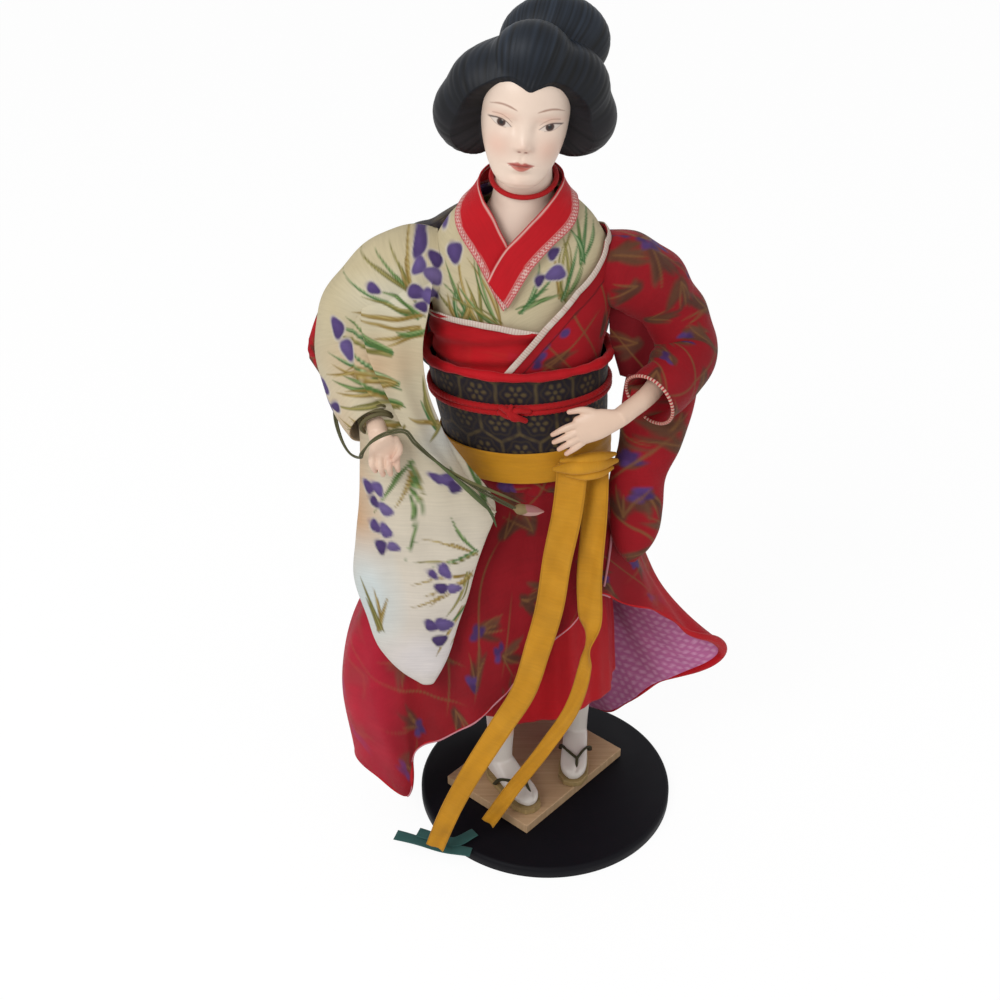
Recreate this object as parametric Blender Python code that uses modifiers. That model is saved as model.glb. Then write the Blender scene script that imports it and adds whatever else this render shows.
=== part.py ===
"""Costumed doll with a porcelain head, hands and feet, dressed in two kimono, on a round black stand.

Units are metres and +Z is up. The origin is the middle of the underside of the stand, and the doll
faces -Y. Everything above the foot board is laid out from the top of the board, and one empty lifts
it to the height that the stand and the board give.
"""
import math

import bmesh
import bpy
import numpy as np
from mathutils import Matrix

MM = 0.001

# Stand
BASE_RADIUS = 70 * MM
BASE_HEIGHT = 7 * MM
BASE_EDGE = 2.2 * MM
BOARD_LENGTH = 83 * MM
BOARD_WIDTH = 59 * MM
BOARD_HEIGHT = 5.6 * MM
BOARD_TURN = math.radians(48.4)
BOARD_X = -5.5 * MM
BOARD_Y = 6.5 * MM
PIN_RADIUS = 1.5 * MM
PIN_DEPTH_IN_BASE = 4 * MM
PIN_HEIGHT_IN_LEG = 26 * MM

# Clearance between touching pieces, and the cloth
GAP = 0.3 * MM
LAYER_ROOM = 0.7 * MM
CLOTH = 1 * MM
OBI_CLOTH = 2 * MM

# Legs and sandals
SOLE_HEIGHT = 3.4 * MM
FOOT_HALF_WIDTH = 7.4 * MM
ANKLE_RADIUS = 6.6 * MM
CALF_RADIUS = 9 * MM
LEG_TOP = 97 * MM
RIGHT_ANKLE = (-24 * MM, -8 * MM)
LEFT_ANKLE = (17.5 * MM, 17 * MM)
RIGHT_FOOT_TURN = math.radians(-56.5)
LEFT_FOOT_TURN = math.radians(-95)

# Body under the clothes
HIP_HALF_WIDTH = 31 * MM
HIP_HALF_DEPTH = 26 * MM
WAIST_HALF_WIDTH = 33 * MM
WAIST_HALF_DEPTH = 25.5 * MM
CHEST_HALF_WIDTH = 38.5 * MM
CHEST_HALF_DEPTH = 24.5 * MM
SHOULDER_HALF_WIDTH = 40.5 * MM
SHOULDER_HALF_DEPTH = 22.5 * MM
COLLAR_HALF_WIDTH = 16 * MM
COLLAR_HALF_DEPTH = 13.5 * MM
BODY_BOTTOM = 137 * MM
PLATE_BOTTOM = 309 * MM
PLATE_TOP = 340 * MM
COLLAR_TOP = 350 * MM
UPPER_ARM_RADIUS = 6.4 * MM
THIGH_RADIUS = 10 * MM

# Head
NECK_RADIUS = 12.8 * MM
NECK_BOTTOM = 349 * MM
NECK_TOP = 364 * MM
FACE_HALF_WIDTH = 19.3 * MM
HEAD_TILT = math.radians(6.5)
HEAD_X = -15 * MM
EYE_HEIGHT = 377 * MM
NECK_CORD_RADIUS = 1.15 * MM
NECK_CORD_HEIGHT = 350.3 * MM
NECK_CORD_TILT = math.radians(18)

# Forearms and hands
FOREARM_RADIUS = 5.8 * MM
WRIST_RADIUS = 4.6 * MM
SLEEVE_ROOM = 1.2 * MM
FINGER_RADIUS = 1.7 * MM
PALM_DEPTH = 3.4 * MM

# Sash layers round the waist
SKIRT_TOP = 249 * MM
OBI_BOTTOM = 221 * MM
OBI_TOP = 264 * MM
BODICE_BOTTOM = 253 * MM
OBIAGE_RADIUS = 2.3 * MM
OBIJIME_RADIUS = 1.3 * MM
OBIJIME_HEIGHT = 250 * MM
SASH_BOTTOM = 211 * MM
SASH_TOP = 227 * MM
SASH_TAIL_WIDTH = 13 * MM
SASH_CLOTH = 1 * MM

# Flower spray
STEM_RADIUS = 1 * MM
BUD_LENGTH = 17 * MM
BUD_RADIUS = 2.6 * MM

# Depth of each layer of cloth over the body
CREAM_LAYER = GAP
RED_LAYER = CREAM_LAYER + CLOTH + LAYER_ROOM
OVERLAP_LAYER = RED_LAYER + CLOTH + LAYER_ROOM
OBI_LAYER = OVERLAP_LAYER + CLOTH + GAP
SASH_LAYER = OBI_LAYER + OBI_CLOTH + GAP

BOARD_BOTTOM = BASE_HEIGHT + GAP
STAND_TOP = BOARD_BOTTOM + BOARD_HEIGHT

# Number of facets round the body, a limb and a finger
ROUND_BODY = 36
ROUND_LIMB = 14
ROUND_FINGER = 6


def clear_scene():
    """Remove what the scene holds, and give back the doll's and the cutters' collections."""
    for thing in list(bpy.data.objects):
        bpy.data.objects.remove(thing, do_unlink=True)
    doll = bpy.data.collections.new("geisha_doll")
    cutters = bpy.data.collections.new("cutters")
    bpy.context.scene.collection.children.link(doll)
    bpy.context.scene.collection.children.link(cutters)
    return doll, cutters


DOLL, CUTTERS = clear_scene()
FIGURE = bpy.data.objects.new("figure", None)
FIGURE.location = (0, 0, STAND_TOP)
DOLL.objects.link(FIGURE)


def finish(name, hex_colour, roughness):
    """Principled material with an sRGB colour written as six hex digits."""
    material = bpy.data.materials.new(name)
    material.use_nodes = True
    shader = material.node_tree.nodes["Principled BSDF"]
    channels = [int(hex_colour[i : i + 2], 16) / 255 for i in (0, 2, 4)]
    linear = [c / 12.92 if c <= 0.04045 else ((c + 0.055) / 1.055) ** 2.4 for c in channels]
    shader.inputs["Base Color"].default_value = (*linear, 1)
    shader.inputs["Roughness"].default_value = roughness
    return material


def place(thing, material, cutter=False, parent=FIGURE):
    """Link an object, give it its material, and hide it if it only cuts or joins others."""
    (CUTTERS if cutter else DOLL).objects.link(thing)
    thing.parent = parent
    if material is not None:
        thing.data.materials.append(material)
    if cutter:
        thing.hide_render = True
        thing.display_type = "WIRE"
    return thing


def smooth(thing, angle=40):
    thing.data.shade_smooth()
    thing.data.set_sharp_from_angle(angle=math.radians(angle))
    return thing


def mesh_object(name, vertices, faces, material, cutter=False, closed=True):
    mesh = bpy.data.meshes.new(name)
    mesh.from_pydata([tuple(v) for v in vertices], [], faces)
    if closed:
        shape = bmesh.new()
        shape.from_mesh(mesh)
        bmesh.ops.recalc_face_normals(shape, faces=shape.faces)
        shape.to_mesh(mesh)
        shape.free()
    return smooth(place(bpy.data.objects.new(name, mesh), material, cutter))


def solid_loft(name, rings, material, cutter=False):
    """Closed solid through rings that all have as many points, with a flat cap on each end."""
    rings = np.asarray(rings, float)
    count, sides = rings.shape[:2]
    faces = []
    for i in range(count - 1):
        for j in range(sides):
            k = (j + 1) % sides
            faces.append((i * sides + j, i * sides + k, (i + 1) * sides + k, (i + 1) * sides + j))
    faces.append(tuple(range(sides)))
    faces.append(tuple((count - 1) * sides + j for j in range(sides)))
    return mesh_object(name, rings.reshape(-1, 3), faces, material, cutter)


def cloth_sheet(name, grid, material, thickness, wrap=False, flip=False):
    """Cloth on a grid of points, given its thickness on the side that its faces look to."""
    rows, columns = grid.shape[:2]
    faces = []
    for i in range(rows - 1):
        for j in range(columns if wrap else columns - 1):
            k = (j + 1) % columns
            face = (i * columns + j, (i + 1) * columns + j, (i + 1) * columns + k, i * columns + k)
            faces.append(face[::-1] if flip else face)
    sheet = mesh_object(name, grid.reshape(-1, 3), faces, material, closed=False)
    wall = sheet.modifiers.new("cloth", "SOLIDIFY")
    wall.thickness = thickness
    wall.offset = 1
    return sheet


def boolean(thing, other, operation="DIFFERENCE"):
    step = thing.modifiers.new(operation.lower(), "BOOLEAN")
    step.operation = operation
    step.object = other


def smooth_read(x, xs, ys):
    """Read a smooth curve through the points (xs, ys) at x; xs rises."""
    xs = np.asarray(xs, float)
    ys = np.asarray(ys, float)
    slopes = np.gradient(ys, xs)
    x = np.clip(np.asarray(x, float), xs[0], xs[-1])
    i = np.clip(np.searchsorted(xs, x) - 1, 0, len(xs) - 2)
    width = xs[i + 1] - xs[i]
    t = (x - xs[i]) / width
    start = (1 + 2 * t) * (1 - t) ** 2 * ys[i] + t * (1 - t) ** 2 * width * slopes[i]
    end = t * t * (3 - 2 * t) * ys[i + 1] + t * t * (t - 1) * width * slopes[i + 1]
    return start + end


def smooth_path(points, count, closed=False):
    """Points spread along a smooth curve through the given points."""
    points = np.asarray(points, float)
    if closed:
        points = np.vstack([points[-2:], points, points[:3]])
    steps = np.linalg.norm(np.diff(points, axis=0), axis=-1)
    if steps.ndim > 1:
        steps = steps.mean(axis=-1)
    along = np.concatenate([[0], np.cumsum(steps)])
    low, high = (along[2], along[-3]) if closed else (along[0], along[-1])
    where = np.linspace(low, high, count, endpoint=not closed)
    columns = points.reshape(len(points), -1).T
    return np.array([smooth_read(where, along, c) for c in columns]).T.reshape((count,) + points.shape[1:])


def tube_rings(path, wide, deep, towards, sides):
    """Rings square to a path: wide across it, deep along the direction that it faces."""
    path = np.asarray(path, float)
    tangent = np.gradient(path, axis=0)
    tangent /= np.linalg.norm(tangent, axis=1)[:, None]
    facing = np.asarray(towards, float) - tangent * (tangent @ np.asarray(towards, float))[:, None]
    facing /= np.linalg.norm(facing, axis=1)[:, None]
    across = np.cross(tangent, facing)
    turn = np.linspace(0, 2 * math.pi, sides, endpoint=False)
    wide = np.broadcast_to(wide, len(path))
    deep = np.broadcast_to(deep, len(path))
    return (
        path[:, None]
        + across[:, None] * (wide[:, None] * np.cos(turn))[..., None]
        + facing[:, None] * (deep[:, None] * np.sin(turn))[..., None]
    )


def tube(name, path, wide, deep, material, cutter=False, towards=(0, 1, 0.2), sides=ROUND_LIMB, count=10):
    """Solid limb along a smooth path, with its half widths and half depths given at the path's points."""
    path = np.asarray(path, float)
    points = np.column_stack([path, np.broadcast_to(wide, len(path)), np.broadcast_to(deep, len(path))])
    points = smooth_path(points, count)
    rings = tube_rings(points[:, :3], points[:, 3], points[:, 4], towards, sides)
    return solid_loft(name, rings, material, cutter)


def cord(name, points, radius, material, closed=False, smoothness=2):
    """Round cord as a curve with filled caps."""
    curve = bpy.data.curves.new(name, "CURVE")
    curve.dimensions = "3D"
    curve.bevel_depth = radius
    curve.bevel_resolution = smoothness
    curve.use_fill_caps = True
    spline = curve.splines.new("POLY")
    spline.points.add(len(points) - 1)
    for point, place_of in zip(spline.points, points):
        point.co = (*place_of, 1)
    spline.use_cyclic_u = closed
    return place(bpy.data.objects.new(name, curve), material)


# Body surface: height over the foot board, middle, half width and half depth at each level
TORSO = np.array(
    (
        (BODY_BOTTOM, -8 * MM, 1 * MM, HIP_HALF_WIDTH - 5 * MM, HIP_HALF_DEPTH - 4 * MM),
        (187 * MM, -9 * MM, 0, HIP_HALF_WIDTH, HIP_HALF_DEPTH),
        (222 * MM, -13 * MM, 0, WAIST_HALF_WIDTH, WAIST_HALF_DEPTH),
        (264 * MM, -17 * MM, 0, CHEST_HALF_WIDTH - 2.5 * MM, CHEST_HALF_DEPTH + 0.5 * MM),
        (285 * MM, -16.5 * MM, 0, CHEST_HALF_WIDTH, CHEST_HALF_DEPTH),
        (302 * MM, -16 * MM, 0, SHOULDER_HALF_WIDTH, SHOULDER_HALF_DEPTH),
        (312 * MM, -16 * MM, 0, SHOULDER_HALF_WIDTH - 0.5 * MM, SHOULDER_HALF_DEPTH - 1.5 * MM),
        (318 * MM, -16 * MM, 0, SHOULDER_HALF_WIDTH - 2 * MM, SHOULDER_HALF_DEPTH - 3 * MM),
        (325 * MM, -16 * MM, 0, SHOULDER_HALF_WIDTH - 5.5 * MM, SHOULDER_HALF_DEPTH - 4.5 * MM),
        (331 * MM, -16 * MM, 0, COLLAR_HALF_WIDTH + 15 * MM, COLLAR_HALF_DEPTH + 3.5 * MM),
        (337 * MM, -16 * MM, 0, COLLAR_HALF_WIDTH + 9 * MM, COLLAR_HALF_DEPTH + 2 * MM),
        (342 * MM, -16 * MM, 0, COLLAR_HALF_WIDTH + 3.4 * MM, COLLAR_HALF_DEPTH + 0.6 * MM),
        (347 * MM, -16 * MM, 0, COLLAR_HALF_WIDTH + 0.4 * MM, COLLAR_HALF_DEPTH + 0.1 * MM),
        (356 * MM, -16 * MM, 0, COLLAR_HALF_WIDTH, COLLAR_HALF_DEPTH),
    )
)


def body_point(turn, height):
    """Point of the body: an ellipse at each height. A turn of 0 is the doll's left, -90 degrees its front."""
    turn, height = np.broadcast_arrays(np.asarray(turn, float), np.asarray(height, float))
    middle_x, middle_y, wide, deep = (smooth_read(height, TORSO[:, 0], TORSO[:, i]) for i in range(1, 5))
    return np.stack([middle_x + wide * np.cos(turn), middle_y + deep * np.sin(turn), height], axis=-1)


def over_body(turn, height, layer):
    """Point of a layer: the body's point moved out along its normal, found from two short steps."""
    turn, height, layer = np.broadcast_arrays(turn, height, layer)
    step = 0.5 * MM
    around = body_point(turn + 0.01, height) - body_point(turn - 0.01, height)
    upward = body_point(turn, height + step) - body_point(turn, height - step)
    normal = np.cross(around, upward)
    normal /= np.linalg.norm(normal, axis=-1)[..., None]
    return body_point(turn, height) + normal * layer[..., None]


def wrap_grid(turns, low, high, layer, rows):
    """Grid on the body between a lower and an upper edge, rows running down."""
    share = 1 - np.linspace(0, 1, rows)[:, None] ** 1.35
    turns = np.asarray(turns, float)
    heights = low + (high - low) * share
    return over_body(turns + 0 * share, heights, layer + 0 * share)


def full_turn(count=ROUND_BODY):
    return np.linspace(0, 2 * math.pi, count, endpoint=False)


PORCELAIN = finish("porcelain", "E9D3C0", 0.35)
TABI = finish("porcelain_tabi", "DED6CF", 0.4)
HAIR = finish("painted_hair", "15161B", 0.35)
LACQUER = finish("black_lacquer", "0B0A10", 0.15)
WOOD = finish("pale_wood", "B8926C", 0.6)
STEEL = finish("steel", "A0A0A0", 0.4)
STUFFING = finish("calico", "D9CFBE", 0.9)
CREAM_SILK = finish("cream_silk", "D3C5A2", 0.6)
RED_SILK = finish("red_silk", "A3121F", 0.6)
PLAIN_RED = finish("plain_red_silk", "C1121E", 0.6)
PINK_LINING = finish("pink_lining", "C0608C", 0.7)
OBI_BROCADE = finish("obi_brocade", "2A2130", 0.6)
RED_CORD = finish("red_cord", "B8171B", 0.6)
YELLOW_SILK = finish("yellow_silk", "C98A1E", 0.6)
LEAF_GREEN = finish("leaf_green", "4C5434", 0.6)
BUD_PINK = finish("bud_pink", "B77F80", 0.6)
TEAL = finish("teal_ribbon", "3D5C58", 0.7)


def turned(name, profile, material, parent=FIGURE):
    """Solid of revolution from a profile that runs down its outer side."""
    mesh = bpy.data.meshes.new(name)
    mesh.from_pydata([(x, 0, z) for x, z in profile], [(i, i + 1) for i in range(len(profile) - 1)], [])
    thing = place(bpy.data.objects.new(name, mesh), material, parent=parent)
    spin = thing.modifiers.new("turn", "SCREW")
    spin.steps = 40
    spin.render_steps = 40
    spin.use_merge_vertices = True
    spin.merge_threshold = 0.00005
    spin.use_smooth_shade = False
    return thing


def hole_cutter(name, x, y, low, high, radius, parent=FIGURE):
    bpy.ops.mesh.primitive_cylinder_add(vertices=10, radius=radius, depth=high - low)
    thing = bpy.context.object
    thing.name = name
    thing.location = (x, y, (low + high) / 2)
    for collection in thing.users_collection:
        collection.objects.unlink(thing)
    return place(thing, None, cutter=True, parent=parent)


def stand():
    """Lacquered disc, foot board, and the pins that hold the feet to them."""
    bend = [math.radians(a) for a in (0, 45, 90)]
    rounded = [
        (BASE_RADIUS - BASE_EDGE * (1 - math.sin(a)), BASE_HEIGHT - BASE_EDGE * (1 - math.cos(a))) for a in bend
    ]
    foot = 0.8 * MM
    profile = [(0, BASE_HEIGHT), *rounded, (BASE_RADIUS, foot), (BASE_RADIUS - foot, 0), (0, 0)]
    base = turned("base_disc", profile, LACQUER, parent=None)

    bpy.ops.mesh.primitive_cube_add(size=1)
    board = bpy.context.object
    board.name = "foot_board"
    for collection in board.users_collection:
        collection.objects.unlink(board)
    board.data.transform(Matrix.Diagonal((BOARD_LENGTH, BOARD_WIDTH, BOARD_HEIGHT, 1)))
    board.location = (BOARD_X, BOARD_Y, BOARD_BOTTOM + BOARD_HEIGHT / 2)
    board.rotation_euler[2] = BOARD_TURN
    place(board, WOOD, parent=None)

    for side, (x, y) in (("right", RIGHT_ANKLE), ("left", LEFT_ANKLE)):
        low = BASE_HEIGHT - PIN_DEPTH_IN_BASE
        high = STAND_TOP + PIN_HEIGHT_IN_LEG
        hole = hole_cutter(side + "_pin_hole", x, y, low - GAP, high + GAP, PIN_RADIUS + GAP, parent=None)
        pin = turned(side + "_foot_pin", [(0, high), (PIN_RADIUS, high), (PIN_RADIUS, low), (0, low)], STEEL, None)
        pin.location = (x, y, 0)
        pin.modifiers["turn"].steps = 10
        pin.modifiers["turn"].render_steps = 10
        boolean(base, hole)
        boolean(board, hole)
    smooth(base)


def foot_frame(ankle, turn):
    """Function that places a foot's own points: along the foot, across it, and up from the board."""
    forward = np.array((math.cos(turn), math.sin(turn), 0))
    sideways = np.array((-math.sin(turn), math.cos(turn), 0))
    origin = np.array((*ankle, 0))
    return lambda along, across, up: origin + forward * along + sideways * across + np.array((0, 0, up))


def leg(side, ankle, turn):
    """Porcelain lower leg with a split-toed sock, on a flat sandal with its thong."""
    at = foot_frame(ankle, turn)
    outline = [(-11, 0), (-10, 5), (-4, 7), (6, 7.2), (16, 8.4), (24, 8.2), (30, 5), (31.5, 0)]
    outline += [(x, -y) for x, y in outline[-2:0:-1]]
    ring = [at(x * MM, y * MM, GAP) for x, y in outline]
    top = [p + np.array((0, 0, SOLE_HEIGHT)) for p in ring]
    sole = solid_loft(side + "_sandal_sole", [ring, top], WOOD)

    foot_bottom = GAP + SOLE_HEIGHT + GAP
    shape = (
        (-9.6, 0.35, 5),
        (-8.8, 0.62, 9),
        (-5, 0.85, 13),
        (2, 0.92, 14),
        (9, 0.95, 11),
        (16, 1, 8.4),
        (22, 0.96, 7),
        (26, 0.8, 5.6),
        (28.4, 0.45, 3.6),
    )
    rings = []
    for along, share, height in shape:
        half = FOOT_HALF_WIDTH * share
        section = []
        for a in np.linspace(0, 2 * math.pi, 12, endpoint=False):
            up = height * MM * (0.5 + 0.5 * np.sign(math.sin(a)) * abs(math.sin(a)) ** 0.7)
            section.append(at(along * MM, half * math.cos(a), foot_bottom + up))
        rings.append(section)
    foot = solid_loft(side + "_foot_form", rings, TABI, cutter=True)

    axis = [at(-2 * MM, 0, h) for h in (foot_bottom + 4 * MM, 20 * MM, 40 * MM, 68 * MM, LEG_TOP)]
    radii = [ANKLE_RADIUS, ANKLE_RADIUS, ANKLE_RADIUS + 1.2 * MM, CALF_RADIUS, CALF_RADIUS]
    shin = tube(side + "_leg", axis, radii, radii, PORCELAIN, towards=(0, 1, 0), count=6)
    boolean(shin, foot, "UNION")
    pin_x, pin_y = ankle
    hole = hole_cutter(side + "_leg_pin_hole", pin_x, pin_y, -1 * MM, PIN_HEIGHT_IN_LEG + GAP, PIN_RADIUS + GAP)
    boolean(shin, hole)
    boolean(sole, hole)


# Middle line of each arm from the shoulder to past the wrist, read at this many steps
ARM_STEPS = 12
ELBOW_STEPS = 6
WRIST_STEPS = 9
ARM_ROUTES = {
    "right": np.array(((-41, 3, 301), (-66, 2, 296), (-86, -5, 279), (-87, -20, 267), (-81.5, -44, 254),
                       (-78, -62, 241))) * MM,
    "left": np.array(((9, 3, 301), (34, 2, 296), (54, -4, 275), (50, -18, 262), (37, -36, 254),
                      (22, -48, 247))) * MM,
}


def arm_rings(route, radius):
    return tube_rings(smooth_path(route, ARM_STEPS), radius, radius, (0, 1, 0.2), 12)


def body():
    """Stuffed body, upper arms and thighs in one, and the sleeve pockets that the arms pass through."""
    heights = np.linspace(BODY_BOTTOM, PLATE_BOTTOM - GAP, 9)
    trunk = solid_loft("stuffed_body", [over_body(full_turn(20), h, -2 * GAP) for h in heights], STUFFING)
    for side, ankle, hip in (("right", RIGHT_ANKLE, -18 * MM), ("left", LEFT_ANKLE, 0)):
        knee = ((ankle[0] + hip) / 2, ankle[1] / 2, 122 * MM)
        path = [(hip, 2 * MM, 152 * MM), knee, (ankle[0], ankle[1], LEG_TOP - GAP)]
        thigh = tube(side + "_thigh", path, THIGH_RADIUS, THIGH_RADIUS, None, cutter=True, count=6)
        boolean(trunk, thigh, "UNION")
        clear = hole_cutter(side + "_leg_clearance", *ankle, LEG_TOP / 2, LEG_TOP + GAP, CALF_RADIUS * 1.6)
        boolean(trunk, clear)
    for side, route in ARM_ROUTES.items():
        rings = arm_rings(route, UPPER_ARM_RADIUS)[:ELBOW_STEPS]
        upper = solid_loft(side + "_upper_arm", rings, None, cutter=True)
        boolean(trunk, upper, "UNION")
    return trunk


def hand(side, palm, fingers, thumb, facing):
    """Porcelain forearm with its hand: palm and fingers are joined to the arm."""
    route = ARM_ROUTES[side]
    radii = np.interp(np.arange(ARM_STEPS), (ELBOW_STEPS, WRIST_STEPS), (FOREARM_RADIUS, WRIST_RADIUS))
    rings = arm_rings(route, radii)[ELBOW_STEPS - 1 : WRIST_STEPS]
    middle = smooth_path(route, ARM_STEPS)[ELBOW_STEPS - 2 : ELBOW_STEPS + 1]
    along = middle[2] - middle[0]
    rings[0] += along / np.linalg.norm(along) * GAP
    arm = solid_loft(side + "_hand", rings, PORCELAIN)
    path, wide = zip(*palm)
    path = [rings[-1].mean(axis=0), *path[1:]]
    shape = tube(side + "_palm", path, wide, PALM_DEPTH, None, cutter=True, count=4, sides=10, towards=facing)
    boolean(arm, shape, "UNION")
    for i, path in enumerate([*fingers, thumb]):
        radii = [FINGER_RADIUS * 1.08, FINGER_RADIUS, FINGER_RADIUS * 0.7]
        finger = tube(f"{side}_finger_{i}", path, radii, radii, None, cutter=True, towards=facing,
                      sides=ROUND_FINGER, count=4)
        boolean(arm, finger, "UNION")
    return arm


def points_mm(*points):
    return [tuple(c * MM for c in point) for point in points]


def hands():
    right = hand(
        "right",
        list(zip(points_mm((-80, -53, 249), (-78, -57, 245), (-76, -59, 238)), (5 * MM, 7 * MM, 7.2 * MM))),
        [
            points_mm((-82, -59, 241), (-81.5, -60.5, 235), (-80, -60, 231)),
            points_mm((-78, -59, 240), (-77.5, -61, 233), (-76.5, -60.5, 228)),
            points_mm((-74, -59, 240), (-73, -61, 233), (-73, -60.5, 229)),
            points_mm((-71, -58, 241), (-69.5, -60, 236), (-69, -60, 232)),
        ],
        points_mm((-84, -57, 246), (-85, -60, 241), (-83, -61.5, 237)),
        (0, 1, 0.2),
    )
    left = hand(
        "left",
        list(zip(points_mm((28, -42, 251), (19, -43.5, 249), (11, -44, 246)), (5 * MM, 7.5 * MM, 7.5 * MM))),
        [
            points_mm((13, -44, 250.5), (4, -44.5, 248), (-2, -43.5, 244)),
            points_mm((13, -44.5, 247), (5, -45, 242), (-1, -44, 239)),
            points_mm((13, -44.5, 243.5), (6, -45, 238), (2, -44.5, 235)),
            points_mm((15, -44, 241), (9, -45, 236), (6, -44.5, 233)),
        ],
        points_mm((20, -42, 254), (11, -42, 256), (5, -42.5, 255)),
        (0, 1, -0.2),
    )
    return right, left


def face_rings():
    """Level rings of the face and skull, each with its half width, front and back."""
    levels = (
        (350.5, 0.15, -20, -12),
        (353, 0.42, -22, -8),
        (358, 0.68, -22.5, -2),
        (365, 0.86, -23, 8),
        (373, 0.97, -23, 14),
        (381, 1, -23, 16),
        (389, 0.96, -22.5, 16),
        (397, 0.83, -20, 14),
        (405, 0.57, -14, 9),
        (410, 0.2, -6, 3),
    )
    rings = []
    for height, share, front, back in levels:
        ring = []
        for a in np.linspace(0, 2 * math.pi, 24, endpoint=False):
            deep = (back - front) / 2 * MM
            middle = (back + front) / 2 * MM
            ring.append((FACE_HALF_WIDTH * share * math.cos(a), middle + deep * math.sin(a), height * MM))
        rings.append(ring)
    return np.array(rings)


# Masses of the dressed hair: middle and half sizes, in millimetres from the middle of the head
HAIR_MASSES = (
    ((-21, 1, 378), (18.5, 15, 18)),
    ((22, 1, 376), (18, 15, 17)),
    ((2, 0, 389), (33, 22, 23)),
    ((3, -8, 404), (17, 13, 15.5)),
    ((-19, -4, 398), (12, 14, 13)),
    ((22, -5, 400), (12, 14, 12)),
    ((13, 16, 404), (24, 14, 20)),
    ((1, 12, 379), (26, 16, 20)),
)


def hair_shell():
    """Hair seen from its middle: in each direction it reaches as far as the furthest mass, blended."""
    middle = np.array((1, 2, 388.0))
    up = np.linspace(0, math.pi, 15)[1:-1]
    turn = full_turn(28)
    up, turn = np.meshgrid(up, turn, indexing="ij")
    way = np.stack([np.sin(up) * np.cos(turn), np.sin(up) * np.sin(turn), np.cos(up)], axis=-1)
    total = np.zeros(up.shape)
    for centre, half in HAIR_MASSES:
        half = np.array(half, float)
        ray = way / half
        start = (middle - centre) / half
        a = (ray**2).sum(-1)
        b = (ray * start).sum(-1)
        c = (start**2).sum(-1) - 1
        inside = b * b - a * c
        reach = np.where(inside > 0, (-b + np.sqrt(np.maximum(inside, 0))) / a, 0)
        total += np.maximum(reach, 0) ** 14
    return (middle + way * (total ** (1 / 14))[..., None]) * MM


def head():
    """Porcelain head with moulded hair, neck and shoulder plate in one casting."""
    levels = (
        (PLATE_BOTTOM, 0),
        (316 * MM, 0),
        (323 * MM, 0.25),
        (329 * MM, 0.45),
        (335 * MM, 0.65),
        (342 * MM, 0.85),
        (NECK_BOTTOM, 1),
        (NECK_TOP, 1),
    )
    rings = []
    for height, share in levels:
        outer = over_body(full_turn(24), min(height, PLATE_TOP), -0.9 * MM)
        outer[:, 2] = height
        turn = full_turn(24)
        neck = np.stack(
            [HEAD_X + NECK_RADIUS * np.cos(turn), -1 * MM + NECK_RADIUS * np.sin(turn), 0 * turn + height], -1
        )
        rings.append(outer * (1 - share) + neck * share)
    plate = solid_loft("head", rings, PORCELAIN)
    face = solid_loft("face_form", face_rings(), PORCELAIN, cutter=True)
    rings = hair_shell()
    hair = solid_loft("hair_form", rings, HAIR, cutter=True)
    lean = Matrix.Rotation(HEAD_TILT, 4, "Y")
    eye_line = Matrix.Translation((0, 0, EYE_HEIGHT))
    face.data.transform(Matrix.Translation((HEAD_X, 0, 0)) @ eye_line @ lean @ eye_line.inverted())
    hair.data.transform(Matrix.Translation((HEAD_X, 0, 0)))
    for form in (face, hair):
        boolean(plate, form, "UNION")
    plate.data.materials.append(HAIR)

    turn = full_turn(24)
    ring = NECK_RADIUS + GAP * 2 + NECK_CORD_RADIUS
    slope = math.tan(NECK_CORD_TILT)
    points = [(HEAD_X + ring * math.cos(a), -1 * MM + ring * math.sin(a),
               NECK_CORD_HEIGHT + ring * math.sin(a) * slope) for a in turn]
    cord("neck_cord", points, NECK_CORD_RADIUS, RED_CORD, closed=True)
    return plate


# Edges of the clothes on the body: turn in degrees and height in millimetres
NECKLINE = ((-180, 342), (-152, 338), (-121, 330), (-110, 321.5), (-100, 311), (-91.5, 320), (-78, 328.5),
            (-55, 337), (0, 341), (90, 343), (180, 342))
KIMONO_EDGE = ((60, 283), (80, 286), (104, 289), (122, 290), (150, 290), (180, 287), (220, 297), (270, 309),
               (330, 322), (350, 324), (379, 321), (386, 318), (415.6, 304), (435, 289), (460, 266))
COLLAR_EDGES = (
    (-92, 305, -101, 296),
    (-99.6, 325, -121, 318),
    (-110.5, 333.5, -140, 327),
    (-142, 342, -165, 334),
    (-180, 348, -180, 337),
    (-225, 352, -225, 339),
    (-270, 354, -270, 341),
    (-315, 353, -315, 340),
    (-350, 351, -350, 339),
    (-380, 348, -372, 338),
    (-418, 342, -404, 332),
    (-446, 333.5, -431, 323.5),
    (-459.6, 325, -443.5, 315),
    (-471, 310, -458, 298),
)


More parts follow.
